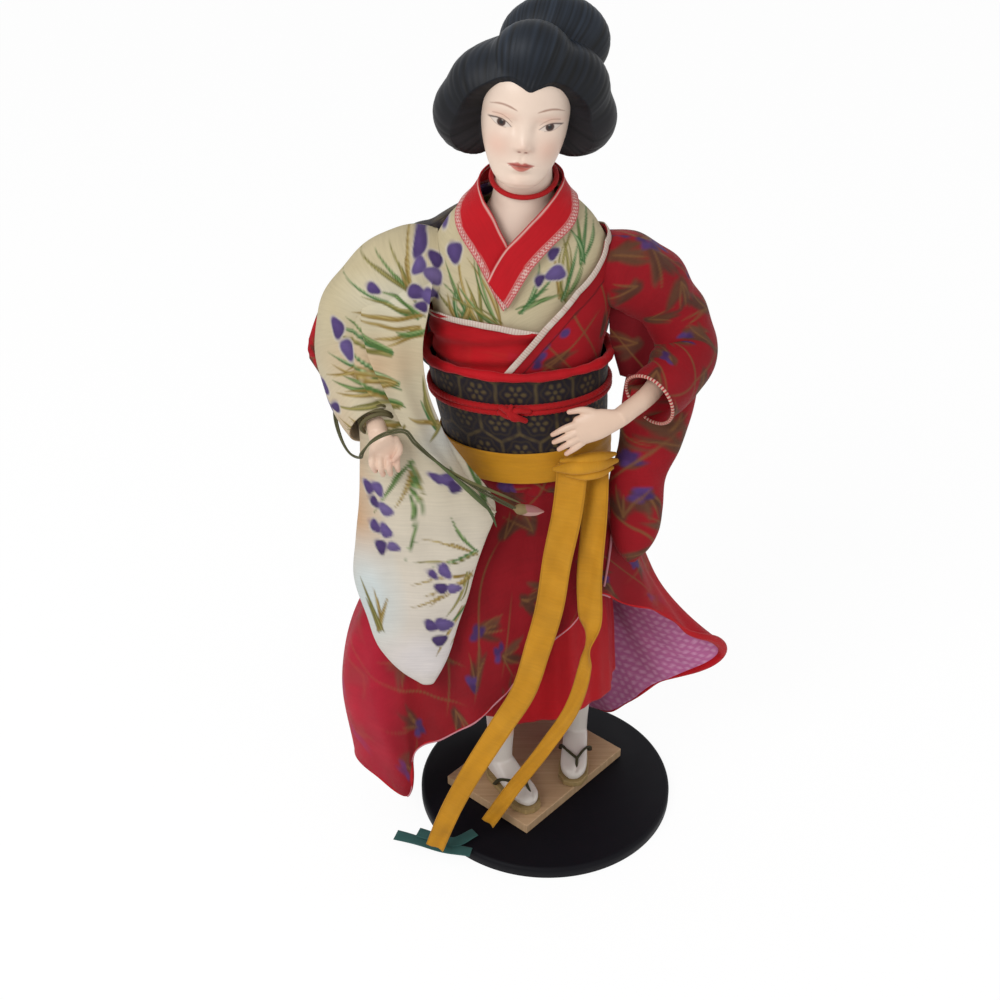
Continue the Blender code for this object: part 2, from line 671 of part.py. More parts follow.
def bodices():
    """Cream bodice, the red kimono crossed over it with one side slipped down, and the collar."""
    turns = full_turn()
    degrees = np.degrees((turns + math.pi) % (2 * math.pi) - math.pi)
    top = np.interp(degrees, *np.array(NECKLINE).T) * MM
    cream = cloth_sheet(
        "cream_bodice", wrap_grid(turns, BODICE_BOTTOM, top, CREAM_LAYER, 6), CREAM_SILK, CLOTH, wrap=True
    )
    edge = np.array(KIMONO_EDGE)
    around = np.arange(edge[0, 0], edge[-1, 0] + 1, 360 / ROUND_BODY)
    top = np.interp(around, *edge.T) * MM
    layer = np.interp(around, (395, 425), (RED_LAYER, OVERLAP_LAYER))
    red = cloth_sheet(
        "red_kimono_bodice", wrap_grid(-np.radians(around), BODICE_BOTTOM, top, layer, 5),
        RED_SILK, CLOTH, flip=True,
    )
    edges = np.array(COLLAR_EDGES, float)
    inner = smooth_path(edges[:, :2], 36)
    outer = smooth_path(edges[:, 2:], 36)
    share = np.linspace(0, 1, 3)[:, None]
    turn = np.radians(inner[:, 0] + (outer[:, 0] - inner[:, 0]) * share)
    height = (inner[:, 1] + (outer[:, 1] - inner[:, 1]) * share) * MM
    layer = np.interp(inner[:, 0], (-440, -395), (OVERLAP_LAYER, RED_LAYER)) + 0 * share
    cloth_sheet("red_collar", over_body(turn, height, layer), PLAIN_RED, CLOTH, flip=True)
    return cream, red


def waist_band(name, low, high, layer, thickness, material, rows=3):
    grid = wrap_grid(full_turn(), low, high, layer, rows)
    return cloth_sheet(name, grid, material, thickness, wrap=True)


def waist():
    """Obi with its roll and cord, the yellow sash with two tails, and the bow behind."""
    waist_band("obi", OBI_BOTTOM, OBI_TOP, OBI_LAYER, OBI_CLOTH, OBI_BROCADE)
    waist_band("yellow_sash", SASH_BOTTOM, SASH_TOP, SASH_LAYER, SASH_CLOTH, YELLOW_SILK)
    turn = full_turn(28)
    ring = over_body(turn, OBI_TOP + GAP + OBIAGE_RADIUS, OBI_LAYER + OBIAGE_RADIUS)
    cord("obiage", ring, OBIAGE_RADIUS, PLAIN_RED, closed=True)

    parts = []
    for i, sign in enumerate((-1, 1)):
        height = OBIJIME_HEIGHT + sign * OBIJIME_RADIUS * 0.9
        ring = over_body(turn, height, SASH_LAYER + OBIJIME_RADIUS + 0.2 * MM)
        rings = tube_rings(np.vstack([ring, ring[:1]]), OBIJIME_RADIUS, OBIJIME_RADIUS, (0, 0, 1), 5)[:-1]
        parts.append(torus_from(f"obijime_{i}" if i else "obijime", rings, RED_CORD, cutter=bool(i)))
    boolean(parts[0], parts[1], "UNION")
    knot_at = over_body(math.radians(-95), OBIJIME_HEIGHT, SASH_LAYER + OBIJIME_RADIUS * 1.6)
    slant = np.array((5.5, -0.5, -2.6)) * MM
    knot = tube("obijime_knot", [knot_at - slant, knot_at, knot_at + slant], [1.6 * MM, 3.2 * MM, 1.6 * MM],
                [1.2 * MM, 1.7 * MM, 1.2 * MM], None, cutter=True, sides=10, count=6, towards=(0, 1, 0))
    boolean(parts[0], knot, "UNION")

    tails = {
        "long": ((8.8, -33.9, 222), (6.5, -40.5, 202), (2, -46, 177), (-1, -48, 152), (-7, -49, 125), (-14, -50, 98),
                 (-27, -52, 73), (-42, -56, 46), (-54, -59.5, 19), (-60, -61, 2)),
        "short": ((19.9, -29.4, 221), (19.5, -37.5, 195), (18, -44.5, 165), (18.5, -46.5, 136), (17, -47, 112),
                  (11, -46, 84), (-2, -45, 57), (-17, -44, 30), (-32, -43, 2)),
    }
    for word, route in tails.items():
        path = smooth_path(points_mm(*route), 15)
        tangent = np.gradient(path, axis=0)
        across = np.cross(tangent, (0.25 if word == "long" else 0.45, 1, 0))
        across /= np.linalg.norm(across, axis=1)[:, None]
        share = np.linspace(0, 1, len(path))[:, None]
        half = SASH_TAIL_WIDTH / 2 * (1 - 0.35 * share * (word == "short"))
        half = half * np.where(share > 0.99, 0.5, 1)
        grid = np.stack([path - across * half, path, path + across * half], axis=0)
        cloth_sheet(f"sash_tail_{word}", grid, YELLOW_SILK, SASH_CLOTH)

    levels = ((232, 38, 35.5, 47), (249, 47, 36, 55), (275, 51, 35.6, 60), (300, 52, 31, 58),
              (317, 49, 27, 51), (327, 41, 26.5, 43), (332.5, 26, 27, 37))
    rings = []
    for height, half, front, back in levels:
        rings.append([((-20 + half * np.sign(math.cos(a)) * abs(math.cos(a)) ** 0.6) * MM,
                       ((front + back) / 2 + (back - front) / 2 * np.sign(math.sin(a)) * abs(math.sin(a)) ** 0.7)
                       * MM, height * MM) for a in full_turn(24)])
    bow = solid_loft("obi_bow", rings, OBI_BROCADE)
    boolean(bow, torso_form("bow_clearance", SASH_LAYER + GAP))
    rings = [[(x * MM, (y + 0.012 * (231 - z)) * MM, z * MM) for x, y in
              ((-46, 37), (-20, 36.6), (6, 37), (6, 39.4), (-20, 40), (-46, 39.4))] for z in (231.3, 215, 196, 180)]
    flap = solid_loft("obi_end", rings, OBI_BROCADE)
    boolean(flap, torso_form("flap_clearance", SASH_LAYER + SASH_CLOTH + GAP))
    return flap


def torus_from(name, rings, material, cutter=False):
    """Closed ring of tube from its sections."""
    count, sides = rings.shape[:2]
    faces = []
    for i in range(count):
        for j in range(sides):
            k = (j + 1) % sides
            n = (i + 1) % count
            faces.append((i * sides + j, i * sides + k, n * sides + k, n * sides + j))
    return mesh_object(name, rings.reshape(-1, 3), faces, material, cutter)


def torso_form(name, layer, low=BODY_BOTTOM, high=COLLAR_TOP, rows=28):
    """Solid of the body out to a layer, to cut what lies on it."""
    return solid_loft(name, [over_body(full_turn(), h, layer) for h in np.linspace(low, high, rows)], None,
                      cutter=True)


# Each ring of the skirt below the waist, from the front round by the doll's left, in millimetres
SKIRT_UPPER = (
    (-8, -33, 172), (6, -33, 176), (18, -31, 180), (28, -24, 178), (34, -16, 174), (39, -9, 168),
    (42, -3, 162), (43, 4, 158), (43, 11, 152), (41, 17, 148), (38, 23, 144), (34, 30, 140),
    (28, 35, 138), (7, 41, 138), (-22, 42, 138), (-50, 35, 140), (-70, 22, 140), (-84, 4, 140),
    (-90, -12, 138), (-90, -22, 136), (-80, -29, 138), (-66, -33, 146), (-52, -35, 155), (-38, -36, 162),
    (-24, -35, 168),
)
SKIRT_MIDDLE = (
    (-8, -37, 152), (6, -37, 159), (20, -34, 167), (32, -26, 162), (40, -18, 155), (47, -10, 145),
    (52, -4, 137), (57, 2, 128), (60, 8, 115), (57, 15, 105), (51, 23, 95), (44, 32, 85),
    (35, 41, 79), (8, 48, 82), (-25, 47, 85), (-60, 36, 87), (-88, 20, 87), (-103, 2, 89),
    (-109, -14, 82), (-105, -24, 85), (-92, -31, 87), (-76, -35, 99), (-58, -37, 112), (-41, -39, 125),
    (-24, -39, 139),
)
SKIRT_HEM = (
    (-6, -42, 119), (9, -42, 135), (24, -37, 150), (37, -30, 139), (50, -22, 130), (67, -14, 115),
    (79, -8, 102), (90, 1, 90), (94, 6, 78), (84, 12, 65), (64, 18, 50), (48, 28, 27),
    (38, 39, 12), (10, 55, 6), (-25, 53, 6), (-60, 38, 9), (-85, 22, 15), (-100, 2, 23),
    (-104, -17, 26), (-93, -27, 20), (-77, -31, 12), (-70, -33, 45), (-57, -37, 56), (-41, -40, 70),
    (-23, -42, 91),
)
SKIRT_COLUMNS = 48
SKIRT_ROWS = 10


def skirt_grid(layer):
    """Skirt surface: level rings on the body at the waist and hips, then the three rings above."""
    lower = [np.array(ring) * MM for ring in (SKIRT_UPPER, SKIRT_MIDDLE, SKIRT_HEM)]
    upper = lower[0]
    turn = np.unwrap(np.arctan2(upper[:, 1] * 1.3, upper[:, 0] + 10 * MM))
    rings = [over_body(turn, h, RED_LAYER + 0 * turn) for h in (SKIRT_TOP, 232 * MM, 214 * MM, 197 * MM)]
    rings = np.array(rings + lower)
    around = np.stack([smooth_path(ring, SKIRT_COLUMNS, closed=True) for ring in rings])
    share = np.linspace(0, 1, SKIRT_ROWS) ** 0.85
    levels = smooth_levels(around, share)
    fold = np.sin(np.linspace(0, 2 * math.pi, SKIRT_COLUMNS, endpoint=False) * 9 + 0.6)
    swell = np.clip((share - 0.35) / 0.65, 0, 1)[:, None] * fold * 1.6 * MM
    normal = surface_normals(levels)
    return levels + normal * (swell + layer)[..., None]


def smooth_levels(rings, share):
    """Rings spread between the given rings, along a smooth curve at each column."""
    at = np.linspace(0, 1, len(rings))
    flat = rings.reshape(len(rings), -1)
    return np.array([smooth_read(share, at, column) for column in flat.T]).T.reshape((len(share),) + rings.shape[1:])


def surface_normals(grid):
    """Outward unit normal at each point of a grid whose rows run down and whose columns go round."""
    around = np.roll(grid, -1, axis=1) - np.roll(grid, 1, axis=1)
    down = np.gradient(grid, axis=0)
    normal = np.cross(down, around)
    return normal / np.linalg.norm(normal, axis=-1)[..., None]


def skirts():
    """Red kimono skirt with its pink lining, and the plain red skirt under it."""
    cloth_sheet("red_kimono_skirt", skirt_grid(0), RED_SILK, CLOTH, wrap=True)
    inner = skirt_grid(-CLOTH - GAP)[6:]
    cloth_sheet("skirt_lining", inner, PINK_LINING, CLOTH, wrap=True)
    turn = full_turn()
    rings = [over_body(turn, h, CREAM_LAYER + 0 * turn) for h in (190 * MM, 180 * MM)]
    for height, x, y, wide, deep in ((140, -5, 3, 34, 28), (100, -4, 5, 38, 32), (62, -4, 5, 40, 34)):
        ring = np.stack([(x + wide * np.cos(turn)) * MM, (y + deep * np.sin(turn)) * MM, height * MM + 0 * turn], -1)
        rings.append(ring)
    rings[-1][:, 2] += 0.18 * rings[-1][:, 0]
    levels = smooth_levels(np.array(rings), np.linspace(0, 1, 6))
    fold = np.sin(turn * 9) * np.linspace(0, 1.2, 6)[:, None] * MM
    levels = levels + surface_normals(levels) * fold[..., None]
    cloth_sheet("plain_red_underskirt", levels, PLAIN_RED, CLOTH, wrap=True)
    form = skirt_grid(CLOTH + GAP * 1.5)
    return solid_loft("skirt_form", form, None, cutter=True)


def sleeve(name, material, axis, radii, bag, pocket, others):
    """Sleeve of one side: a tube round the arm joined to the bag that hangs from it, open at the wrist."""
    path = points_mm(*axis)
    tube(name, path, [r * MM for r in radii], [r * MM for r in radii], material, count=8, sides=16)
    made = bpy.data.objects[name]
    rings = []
    for height, x, wide, y, deep in bag:
        rings.append([((x + wide * np.sign(math.cos(a)) * abs(math.cos(a)) ** 0.8) * MM,
                       (y + deep * math.sin(a)) * MM, height * MM) for a in full_turn(16)])
    rings = smooth_path(np.array(rings), 10)
    bag_form = solid_loft(name + "_bag", rings, None, cutter=True)
    boolean(made, bag_form, "UNION")
    room = UPPER_ARM_RADIUS + SLEEVE_ROOM
    radii = [room, room, room, room, room + 0.6 * MM, room + 2.5 * MM]
    radii = np.interp(np.linspace(0, 1, ARM_STEPS), np.linspace(0, 1, 6), radii)
    inside = solid_loft(name + "_pocket", arm_rings(pocket, radii), None, cutter=True)
    boolean(made, inside)
    for other in others:
        boolean(made, other)
    return made, inside


def sleeves(skirt_form, cream, red):
    clear = torso_form("sleeve_clearance", OVERLAP_LAYER + GAP)
    right, right_pocket = sleeve(
        "cream_right_sleeve", CREAM_SILK,
        ((-51, 2, 309), (-62, 2, 307), (-76, 1, 301), (-91, -4, 287), (-96, -15, 272), (-92, -28, 260),
         (-86, -40, 252)),
        (14, 18, 19, 17, 14.5, 13, 12),
        ((292, -80, 12, -14, 8), (278, -79, 14, -26, 8), (262, -78, 15, -38, 7), (248, -71, 19, -45.5, 5),
         (230, -65, 25, -48, 4.5), (209, -59, 32, -49, 4.5), (191, -63, 31, -49.5, 4), (171, -66.5, 29.5, -49.5, 4),
         (146, -67.5, 23.5, -49, 3.6), (123, -67, 17, -48.5, 3.2), (108, -64, 8, -48, 2.6), (103, -62, 3.5, -48, 2)),
        ARM_ROUTES["right"],
        [clear, skirt_form],
    )
    left, left_pocket = sleeve(
        "red_left_sleeve", RED_SILK,
        ((19, 2, 309), (28, 2, 306), (40, 2, 300), (54, 2, 284), (61, -4, 268), (54, -18, 258), (43, -30, 254)),
        (14, 17.5, 18, 15, 15, 14, 13),
        ((256, 50, 17, -14, 11), (240, 48, 17, -17, 9), (225, 45, 15, -20, 8), (207, 41, 13.5, -23, 7),
         (192, 41, 12.5, -25, 6.5), (180, 40, 11, -27, 6), (170, 39, 7, -28.5, 5), (165, 38.5, 3, -29, 3)),
        ARM_ROUTES["left"],
        [clear, skirt_form],
    )
    for garment in (cream, red):
        boolean(garment, right_pocket)
        boolean(garment, left_pocket)
    rings = []
    for x, low, high, y, deep in ((-60, 262, 280, 11, 5), (-73, 252, 281, 17, 6), (-87, 224, 280, 22, 7),
                                  (-99, 219, 281, 23, 8), (-109, 233, 279, 21, 7), (-115, 245, 269, 19, 4),
                                  (-118, 251, 262, 18, 1.5)):
        rings.append([(x * MM, (y + deep * math.cos(a)) * MM,
                       ((low + high) / 2 + (high - low) / 2 * math.sin(a)) * MM) for a in full_turn(16)])
    slipped = solid_loft("red_slipped_sleeve", smooth_path(np.array(rings), 10), RED_SILK)
    arm = tube("slipped_clearance", points_mm((-51, 2, 309), (-62, 2, 307), (-76, 1, 301), (-91, -4, 287),
                                              (-96, -15, 272), (-92, -28, 260)),
               [r * MM + GAP * 1.5 for r in (14, 18, 19, 17, 14.5, 13)],
               [r * MM + GAP * 1.5 for r in (14, 18, 19, 17, 14.5, 13)], None, cutter=True, count=9, sides=18)
    boolean(slipped, arm)
    boolean(slipped, torso_form("slipped_waist_clearance", OBI_LAYER + 2 * OBIAGE_RADIUS + GAP))
    boolean(slipped, skirt_form)


# Outline of the ribbon on the stand, as shares of the disc's radius
RIBBON_OUTLINE = (
    (-1.171, -0.629), (-1.057, -0.714), (-0.914, -0.757), (-0.743, -0.829), (-0.586, -0.871),
    (-0.543, -0.714), (-0.571, -0.600), (-0.743, -0.629), (-0.886, -0.600), (-1.029, -0.614),
)


def spray():
    """Wired spray of leaves and a bud that the right hand holds, and the ribbon on the stand."""
    route = points_mm(
        (-99, -37, 242), (-97, -44, 240), (-93, -52, 238.5), (-87.9, -59.6, 241), (-86, -65, 247),
        (-81, -67, 254), (-75, -67, 257.5), (-67, -66, 258), (-63, -65, 252), (-52, -64, 240),
        (-39, -62, 229), (-26, -59, 218), (-19, -54, 210.5),
    )
    path = smooth_path(route, 30)
    cord("flower_stem", path, STEM_RADIUS, LEAF_GREEN, smoothness=1)
    tip = path[-1] - path[-2]
    start = path[-1] + tip / np.linalg.norm(tip) * GAP * 2
    way = np.array((15, 8, -7.0))
    way = way / np.linalg.norm(way) * BUD_LENGTH
    tube("flower_bud", [start, start + way * 0.3, start + way * 0.75, start + way],
         [0.8 * MM, BUD_RADIUS, BUD_RADIUS * 0.8, 0.7 * MM], [0.8 * MM, BUD_RADIUS, BUD_RADIUS * 0.8, 0.7 * MM],
         BUD_PINK, count=8, sides=12)
    top = BASE_HEIGHT - STAND_TOP + GAP
    ribbon = np.array(RIBBON_OUTLINE) * BASE_RADIUS
    low = [(x, y, top) for x, y in ribbon]
    high = [(x, y, top + CLOTH) for x, y in ribbon]
    solid_loft("teal_ribbon", [low, high], TEAL)


def build():
    stand()
    leg("right", RIGHT_ANKLE, RIGHT_FOOT_TURN)
    leg("left", LEFT_ANKLE, LEFT_FOOT_TURN)
    body()
    head()
    hands()
    cream, red = bodices()
    waist()
    skirt_form = skirts()
    sleeves(skirt_form, cream, red)
    spray()


build()
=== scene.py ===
"""Costumed porcelain doll on a lacquered stand: the pieces that are seen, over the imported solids.

Shapes are worked out in millimetres over the top of the foot board, with the doll facing -Y, and are
moved up and turned into metres when a piece is made.
"""
import math

import bmesh
import bpy
import numpy as np
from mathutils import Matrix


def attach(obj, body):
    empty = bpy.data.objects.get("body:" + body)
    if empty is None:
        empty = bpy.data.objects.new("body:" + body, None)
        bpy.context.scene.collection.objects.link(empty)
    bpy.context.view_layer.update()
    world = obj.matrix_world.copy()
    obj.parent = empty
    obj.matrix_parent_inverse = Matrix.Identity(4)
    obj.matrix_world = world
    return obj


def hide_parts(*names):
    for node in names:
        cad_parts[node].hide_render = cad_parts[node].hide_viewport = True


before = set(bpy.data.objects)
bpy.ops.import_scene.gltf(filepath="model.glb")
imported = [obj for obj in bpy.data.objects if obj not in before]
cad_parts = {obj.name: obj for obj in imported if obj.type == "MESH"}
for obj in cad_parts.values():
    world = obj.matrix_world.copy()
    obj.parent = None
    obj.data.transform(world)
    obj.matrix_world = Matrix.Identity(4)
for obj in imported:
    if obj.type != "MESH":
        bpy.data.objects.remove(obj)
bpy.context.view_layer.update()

MM = 0.001
BASE_HEIGHT = 7
BASE_RADIUS = 70
BOARD_TOP = 12.9
FULL_TURN = 2 * math.pi


# Colours and nodes


def linear(code):
    """sRGB colour written as six hex digits, turned to linear red, green and blue."""
    channels = np.array([int(code[i : i + 2], 16) for i in (0, 2, 4)]) / 255
    return np.where(channels <= 0.04045, channels / 12.92, ((channels + 0.055) / 1.055) ** 2.4)


def rgba(code):
    """The same colour as a shader socket takes it, with full cover."""
    return (*linear(code), 1)


def add(tree, kind, inputs=None, **settings):
    """Add a node, set its own settings, and give its inputs a value or a link."""
    node = tree.nodes.new(kind)
    for key, value in settings.items():
        setattr(node, key, value)
    for key, value in (inputs or {}).items():
        if isinstance(value, bpy.types.NodeSocket):
            tree.links.new(value, node.inputs[key])
        else:
            node.inputs[key].default_value = value
    return node


def material(name, roughness, **sockets):
    """New material: its tree and its shader, with the values that are the same all over it."""
    made = bpy.data.materials.new(name)
    made.use_nodes = True
    shader = made.node_tree.nodes["Principled BSDF"]
    shader.inputs["Roughness"].default_value = roughness
    for key, value in sockets.items():
        shader.inputs[key.replace("_", " ")].default_value = value
    return made, made.node_tree, shader


def woven(name, colour, thread, roughness, depth, wear, sheen):
    """Plain woven silk: threads over and under at the real spacing, drawn no finer than shows, with
    slubs along the weft, uneven dye, and a soft sheen from the raised fibres. A colour of None reads the
    printed colour that the mesh carries."""
    made, tree, shader = material(
        name, roughness, Sheen_Weight=sheen * 0.25, Sheen_Roughness=0.4, Specular_IOR_Level=0.18
    )
    cloth = add(tree, "ShaderNodeUVMap", uv_map="cloth").outputs["UV"]
    place = add(tree, "ShaderNodeTexCoord").outputs["Object"]
    axes = add(tree, "ShaderNodeSeparateXYZ", {"Vector": cloth})
    waves = []
    for axis in ("X", "Y"):
        phase = add(tree, "ShaderNodeMath", {0: axes.outputs[axis], 1: FULL_TURN / (thread * MM)},
                    operation="MULTIPLY")
        waves.append(add(tree, "ShaderNodeMath", {0: phase.outputs[0]}, operation="SINE").outputs[0])
    weave = add(tree, "ShaderNodeMath", {0: waves[0], 1: waves[1]}, operation="MULTIPLY").outputs[0]
    stretch = add(tree, "ShaderNodeMapping", {"Vector": cloth, "Scale": (90, 900, 1)}).outputs[0]
    slubs = add(tree, "ShaderNodeTexNoise", {"Vector": stretch, "Scale": 1.0, "Detail": 3.0}).outputs["Fac"]
    blotch = add(tree, "ShaderNodeTexNoise", {"Vector": place, "Scale": 42.0, "Detail": 4.0}).outputs["Fac"]
    if colour is None:
        base = add(tree, "ShaderNodeAttribute", attribute_name="print").outputs["Color"]
    else:
        base = tuple(linear(colour))
    tone = add(tree, "ShaderNodeMapRange", {"Value": blotch, "From Min": 0.25, "From Max": 0.75,
                                            "To Min": 1 - wear, "To Max": 1 + wear * 0.6}).outputs[0]
    # Where the threads sink the colour is a little darker: painted shade of the weave, multiplied in with the uneven
    # dye and the slubs.
    thread_shade = add(tree, "ShaderNodeMapRange", {"Value": weave, "From Min": -1.0, "From Max": 1.0,
                                                   "To Min": 0.93, "To Max": 1.05}).outputs[0]
    slub_tone = add(tree, "ShaderNodeMapRange", {"Value": slubs, "To Min": 0.88, "To Max": 1.105}).outputs[0]
    dye_slub_and_thread_shade = add(tree, "ShaderNodeMath", {0: tone, 1: thread_shade}, operation="MULTIPLY").outputs[0]
    dye_slub_and_thread_shade = add(tree, "ShaderNodeMath", {0: dye_slub_and_thread_shade, 1: slub_tone}, operation="MULTIPLY").outputs[0]
    dyed = add(tree, "ShaderNodeVectorMath", {0: base, "Scale": dye_slub_and_thread_shade}, operation="SCALE").outputs[0]
    tree.links.new(dyed, shader.inputs["Base Color"])
    relief = add(tree, "ShaderNodeMath", {0: slubs, 1: 0.6, 2: weave}, operation="MULTIPLY_ADD").outputs[0]
    bump = add(tree, "ShaderNodeBump", {"Height": relief, "Strength": 0.5, "Distance": depth * MM})
    tree.links.new(bump.outputs[0], shader.inputs["Normal"])
    return made


# Points and meshes


def circle(count):
    """Evenly spread turns of a full circle, in radians."""
    return np.linspace(0, FULL_TURN, count, endpoint=False)


def unit(ways):
    """Vectors brought to length 1."""
    return ways / np.linalg.norm(ways, axis=-1, keepdims=True)


def together(*parts):
    """Coordinates stretched to one shape and put side by side."""
    return np.stack(np.broadcast_arrays(*parts), -1)


def run_along(line):
    """Length from the first point of a line to each of its points; for a grid, the mean of its columns."""
    steps = np.linalg.norm(np.diff(line, axis=0), axis=-1)
    return np.concatenate([[0], np.cumsum(steps.mean(axis=-1) if steps.ndim > 1 else steps)])


def even(code, points):
    """One colour for every point."""
    return np.zeros((*points.shape[:-1], 3)) + linear(code)


def grid_faces(rows, columns, wrap):
    """Quads that join each point of a grid to the next one round and to the ones below."""
    i = np.arange(rows - 1)[:, None]
    j = np.arange(columns if wrap else columns - 1)[None]
    k = (j + 1) % columns
    quads = np.stack([i * columns + j, (i + 1) * columns + j, (i + 1) * columns + k, i * columns + k], -1)
    return quads.reshape(-1, 4)


def looks_out(points, faces):
    """True if most faces look away from the middle of the shape."""
    a, b, c = points[faces[:, 0]], points[faces[:, 1]], points[faces[:, 2]]
    normal = np.cross(b - a, c - a)
    return (normal * ((a + c) / 2 - points.mean(axis=0))).sum() >= 0


def piece(name, grids, finish, replaces=(), wall=None):
    """One mesh from one or more grids. A grid is its points, and may have "wrap", "ends" (closed with a
    middle point), "uv" in millimetres and "paint". Faces are turned to look outwards, or inwards where a
    grid says "inside"."""
    points, faces, uvs, paints = [], [], [], []
    start = 0
    for entry in grids:
        grid = entry["points"]
        rows, columns = grid.shape[:2]
        wrap = entry.get("wrap", False)
        flat = grid.reshape(-1, 3)
        quads = grid_faces(rows, columns, wrap)
        turn = looks_out(flat, quads) == entry.get("inside", False)
        quads = quads[:, ::-1] if turn else quads
        cells = (quads + start).tolist()
        uv = entry.get("uv")
        if uv is None:
            around = np.arange(columns) / columns * np.linalg.norm(
                np.diff(grid[rows // 2], axis=0), axis=1).sum() * (columns / max(columns - 1, 1))
            uv = together(around[None], run_along(grid)[:, None])
        uv = np.asarray(uv, float).reshape(-1, 2)
        paint = entry.get("paint")
        paint = np.ones((rows * columns, 3)) if paint is None else paint.reshape(-1, 3)
        if entry.get("ends"):
            for row in (0, rows - 1):
                middle = len(flat)
                flat = np.vstack([flat, grid[row].mean(axis=0)[None]])
                uv = np.vstack([uv, uv.reshape(-1, 2)[row * columns : (row + 1) * columns].mean(axis=0)[None]])
                paint = np.vstack([paint, paint[row * columns][None]])
                ring = row * columns + np.arange(columns)
                fan = np.stack([ring, np.roll(ring, -1), np.full(columns, middle)], -1)
                fan = fan[:, ::-1] if (row == 0) == turn else fan
                cells += (fan + start).tolist()
        points.append(flat)
        faces += cells
        uvs.append(uv)
        paints.append(paint)
        start += len(flat)
    points = np.vstack(points)
    mesh = bpy.data.meshes.new(name)
    mesh.from_pydata(((points + (0, 0, BOARD_TOP)) * MM).tolist(), [], faces)
    mesh.shade_smooth()
    give_attributes(mesh, np.vstack(uvs), np.vstack(paints))
    made = bpy.data.objects.new(name, mesh)
    bpy.context.scene.collection.objects.link(made)
    if wall:
        solid = made.modifiers.new("thickness", "SOLIDIFY")
        solid.thickness = abs(wall) * MM
        solid.offset = math.copysign(1, wall)
    return dress(made, finish, replaces)


def give_attributes(mesh, uv, paint):
    """UV map in metres along the cloth, joined across the seam of a closed grid, and the painted colour."""
    corners = np.empty(len(mesh.loops), np.int32)
    mesh.loops.foreach_get("vertex_index", corners)
    starts = np.empty(len(mesh.polygons), np.int32)
    mesh.polygons.foreach_get("loop_start", starts)
    across = uv[corners].copy()
    widest = np.repeat(np.maximum.reduceat(across[:, 0], starts), np.diff(np.append(starts, len(corners))))
    period = uv[:, 0].max() - uv[:, 0].min()
    across[:, 0] += np.where(widest - across[:, 0] > period * 0.5, period, 0)
    layer = mesh.uv_layers.new(name="cloth")
    layer.data.foreach_set("uv", (across * MM).astype(np.float32).ravel())
    colours = mesh.color_attributes.new("print", "FLOAT_COLOR", "POINT")
    colours.data.foreach_set("color", np.column_stack([paint, np.ones(len(paint))]).astype(np.float32).ravel())


def dress(made, finish, replaces=()):
    """Give a piece its material and slot, tie it to the doll, and hide the solids that it stands for."""
    made.data.materials.clear()
    made.data.materials.append(finish)
    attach(made, "root")
    if replaces:
        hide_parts(*replaces)
    return made


def smooth_read(x, xs, ys):
    """Read a smooth curve through the points (xs, ys) at x; xs rises."""
    xs = np.asarray(xs, float)
    ys = np.asarray(ys, float)
    slopes = np.gradient(ys, xs)
    x = np.clip(np.asarray(x, float), xs[0], xs[-1])
    i = np.clip(np.searchsorted(xs, x) - 1, 0, len(xs) - 2)
    width = xs[i + 1] - xs[i]
    t = (x - xs[i]) / width
    start = (1 + 2 * t) * (1 - t) ** 2 * ys[i] + t * (1 - t) ** 2 * width * slopes[i]
    end = t * t * (3 - 2 * t) * ys[i + 1] + t * t * (t - 1) * width * slopes[i + 1]
    return start + end


def smooth_path(points, count, closed=False):
    """Points spread evenly along a smooth curve through the given points, which may be whole rings."""
    points = np.asarray(points, float)
    if closed:
        points = np.vstack([points[-2:], points, points[:3]])
    along = run_along(points)
    low, high = (along[2], along[-3]) if closed else (along[0], along[-1])
    where = np.linspace(low, high, count, endpoint=not closed)
    columns = points.reshape(len(points), -1).T
    return np.array([smooth_read(where, along, c) for c in columns]).T.reshape((count,) + points.shape[1:])


def smooth_rows(rings, share):
    """Rings between the given rings, along a smooth curve at each column."""
    at = np.linspace(0, 1, len(rings))
    flat = rings.reshape(len(rings), -1)
    return np.array([smooth_read(share, at, c) for c in flat.T]).T.reshape((len(share),) + rings.shape[1:])


def normals(grid, wrap=True):
    """Unit normal at each point, from the steps down and round; out of a grid that runs down and turns left."""
    if wrap:
        around = np.roll(grid, -1, axis=1) - np.roll(grid, 1, axis=1)
    else:
        around = np.gradient(grid, axis=1)
    normal = np.cross(np.gradient(grid, axis=0), around)
    return normal / np.maximum(np.linalg.norm(normal, axis=-1), 1e-9)[..., None]


def tube(path, wide, deep=None, sides=12, towards=(0, 1, 0.2), closed=False):
    """Rings square to a path: wide across it and deep along the way it faces."""
    path = np.asarray(path, float)
    if closed:
        tangent = np.roll(path, -1, axis=0) - np.roll(path, 1, axis=0)
    else:
        tangent = np.gradient(path, axis=0)
    tangent = unit(tangent)
    facing = unit(np.asarray(towards, float) - tangent * (tangent @ np.asarray(towards, float))[:, None])
    across = np.cross(tangent, facing)
    turn = circle(sides)
    wide = np.broadcast_to(wide, len(path))
    deep = wide if deep is None else np.broadcast_to(deep, len(path))
    return (path[:, None] + across[:, None] * (wide[:, None] * np.cos(turn))[..., None]
            + facing[:, None] * (deep[:, None] * np.sin(turn))[..., None])


def ring_closed(rings):
    """Grid of a closed tube: the first ring comes again at the end, so that rows meet."""
    return np.concatenate([rings, rings[:1]], axis=0)


def uneven(shape, seed, size):
    """Smooth random field from -1 to 1: random values on a coarse grid, read smoothly between."""
    rows, columns = shape
    rng = np.random.default_rng(seed)
    coarse = rng.uniform(-1, 1, (max(int(rows / size[0]), 3) + 1, max(int(columns / size[1]), 3) + 1))
    coarse[:, -1] = coarse[:, 0]
    down = np.linspace(0, 1, rows)
    across = np.linspace(0, 1, columns)
    first = np.array([smooth_read(down, np.linspace(0, 1, len(coarse)), c) for c in coarse.T])
    return np.array([smooth_read(across, np.linspace(0, 1, len(first)), c) for c in first.T])


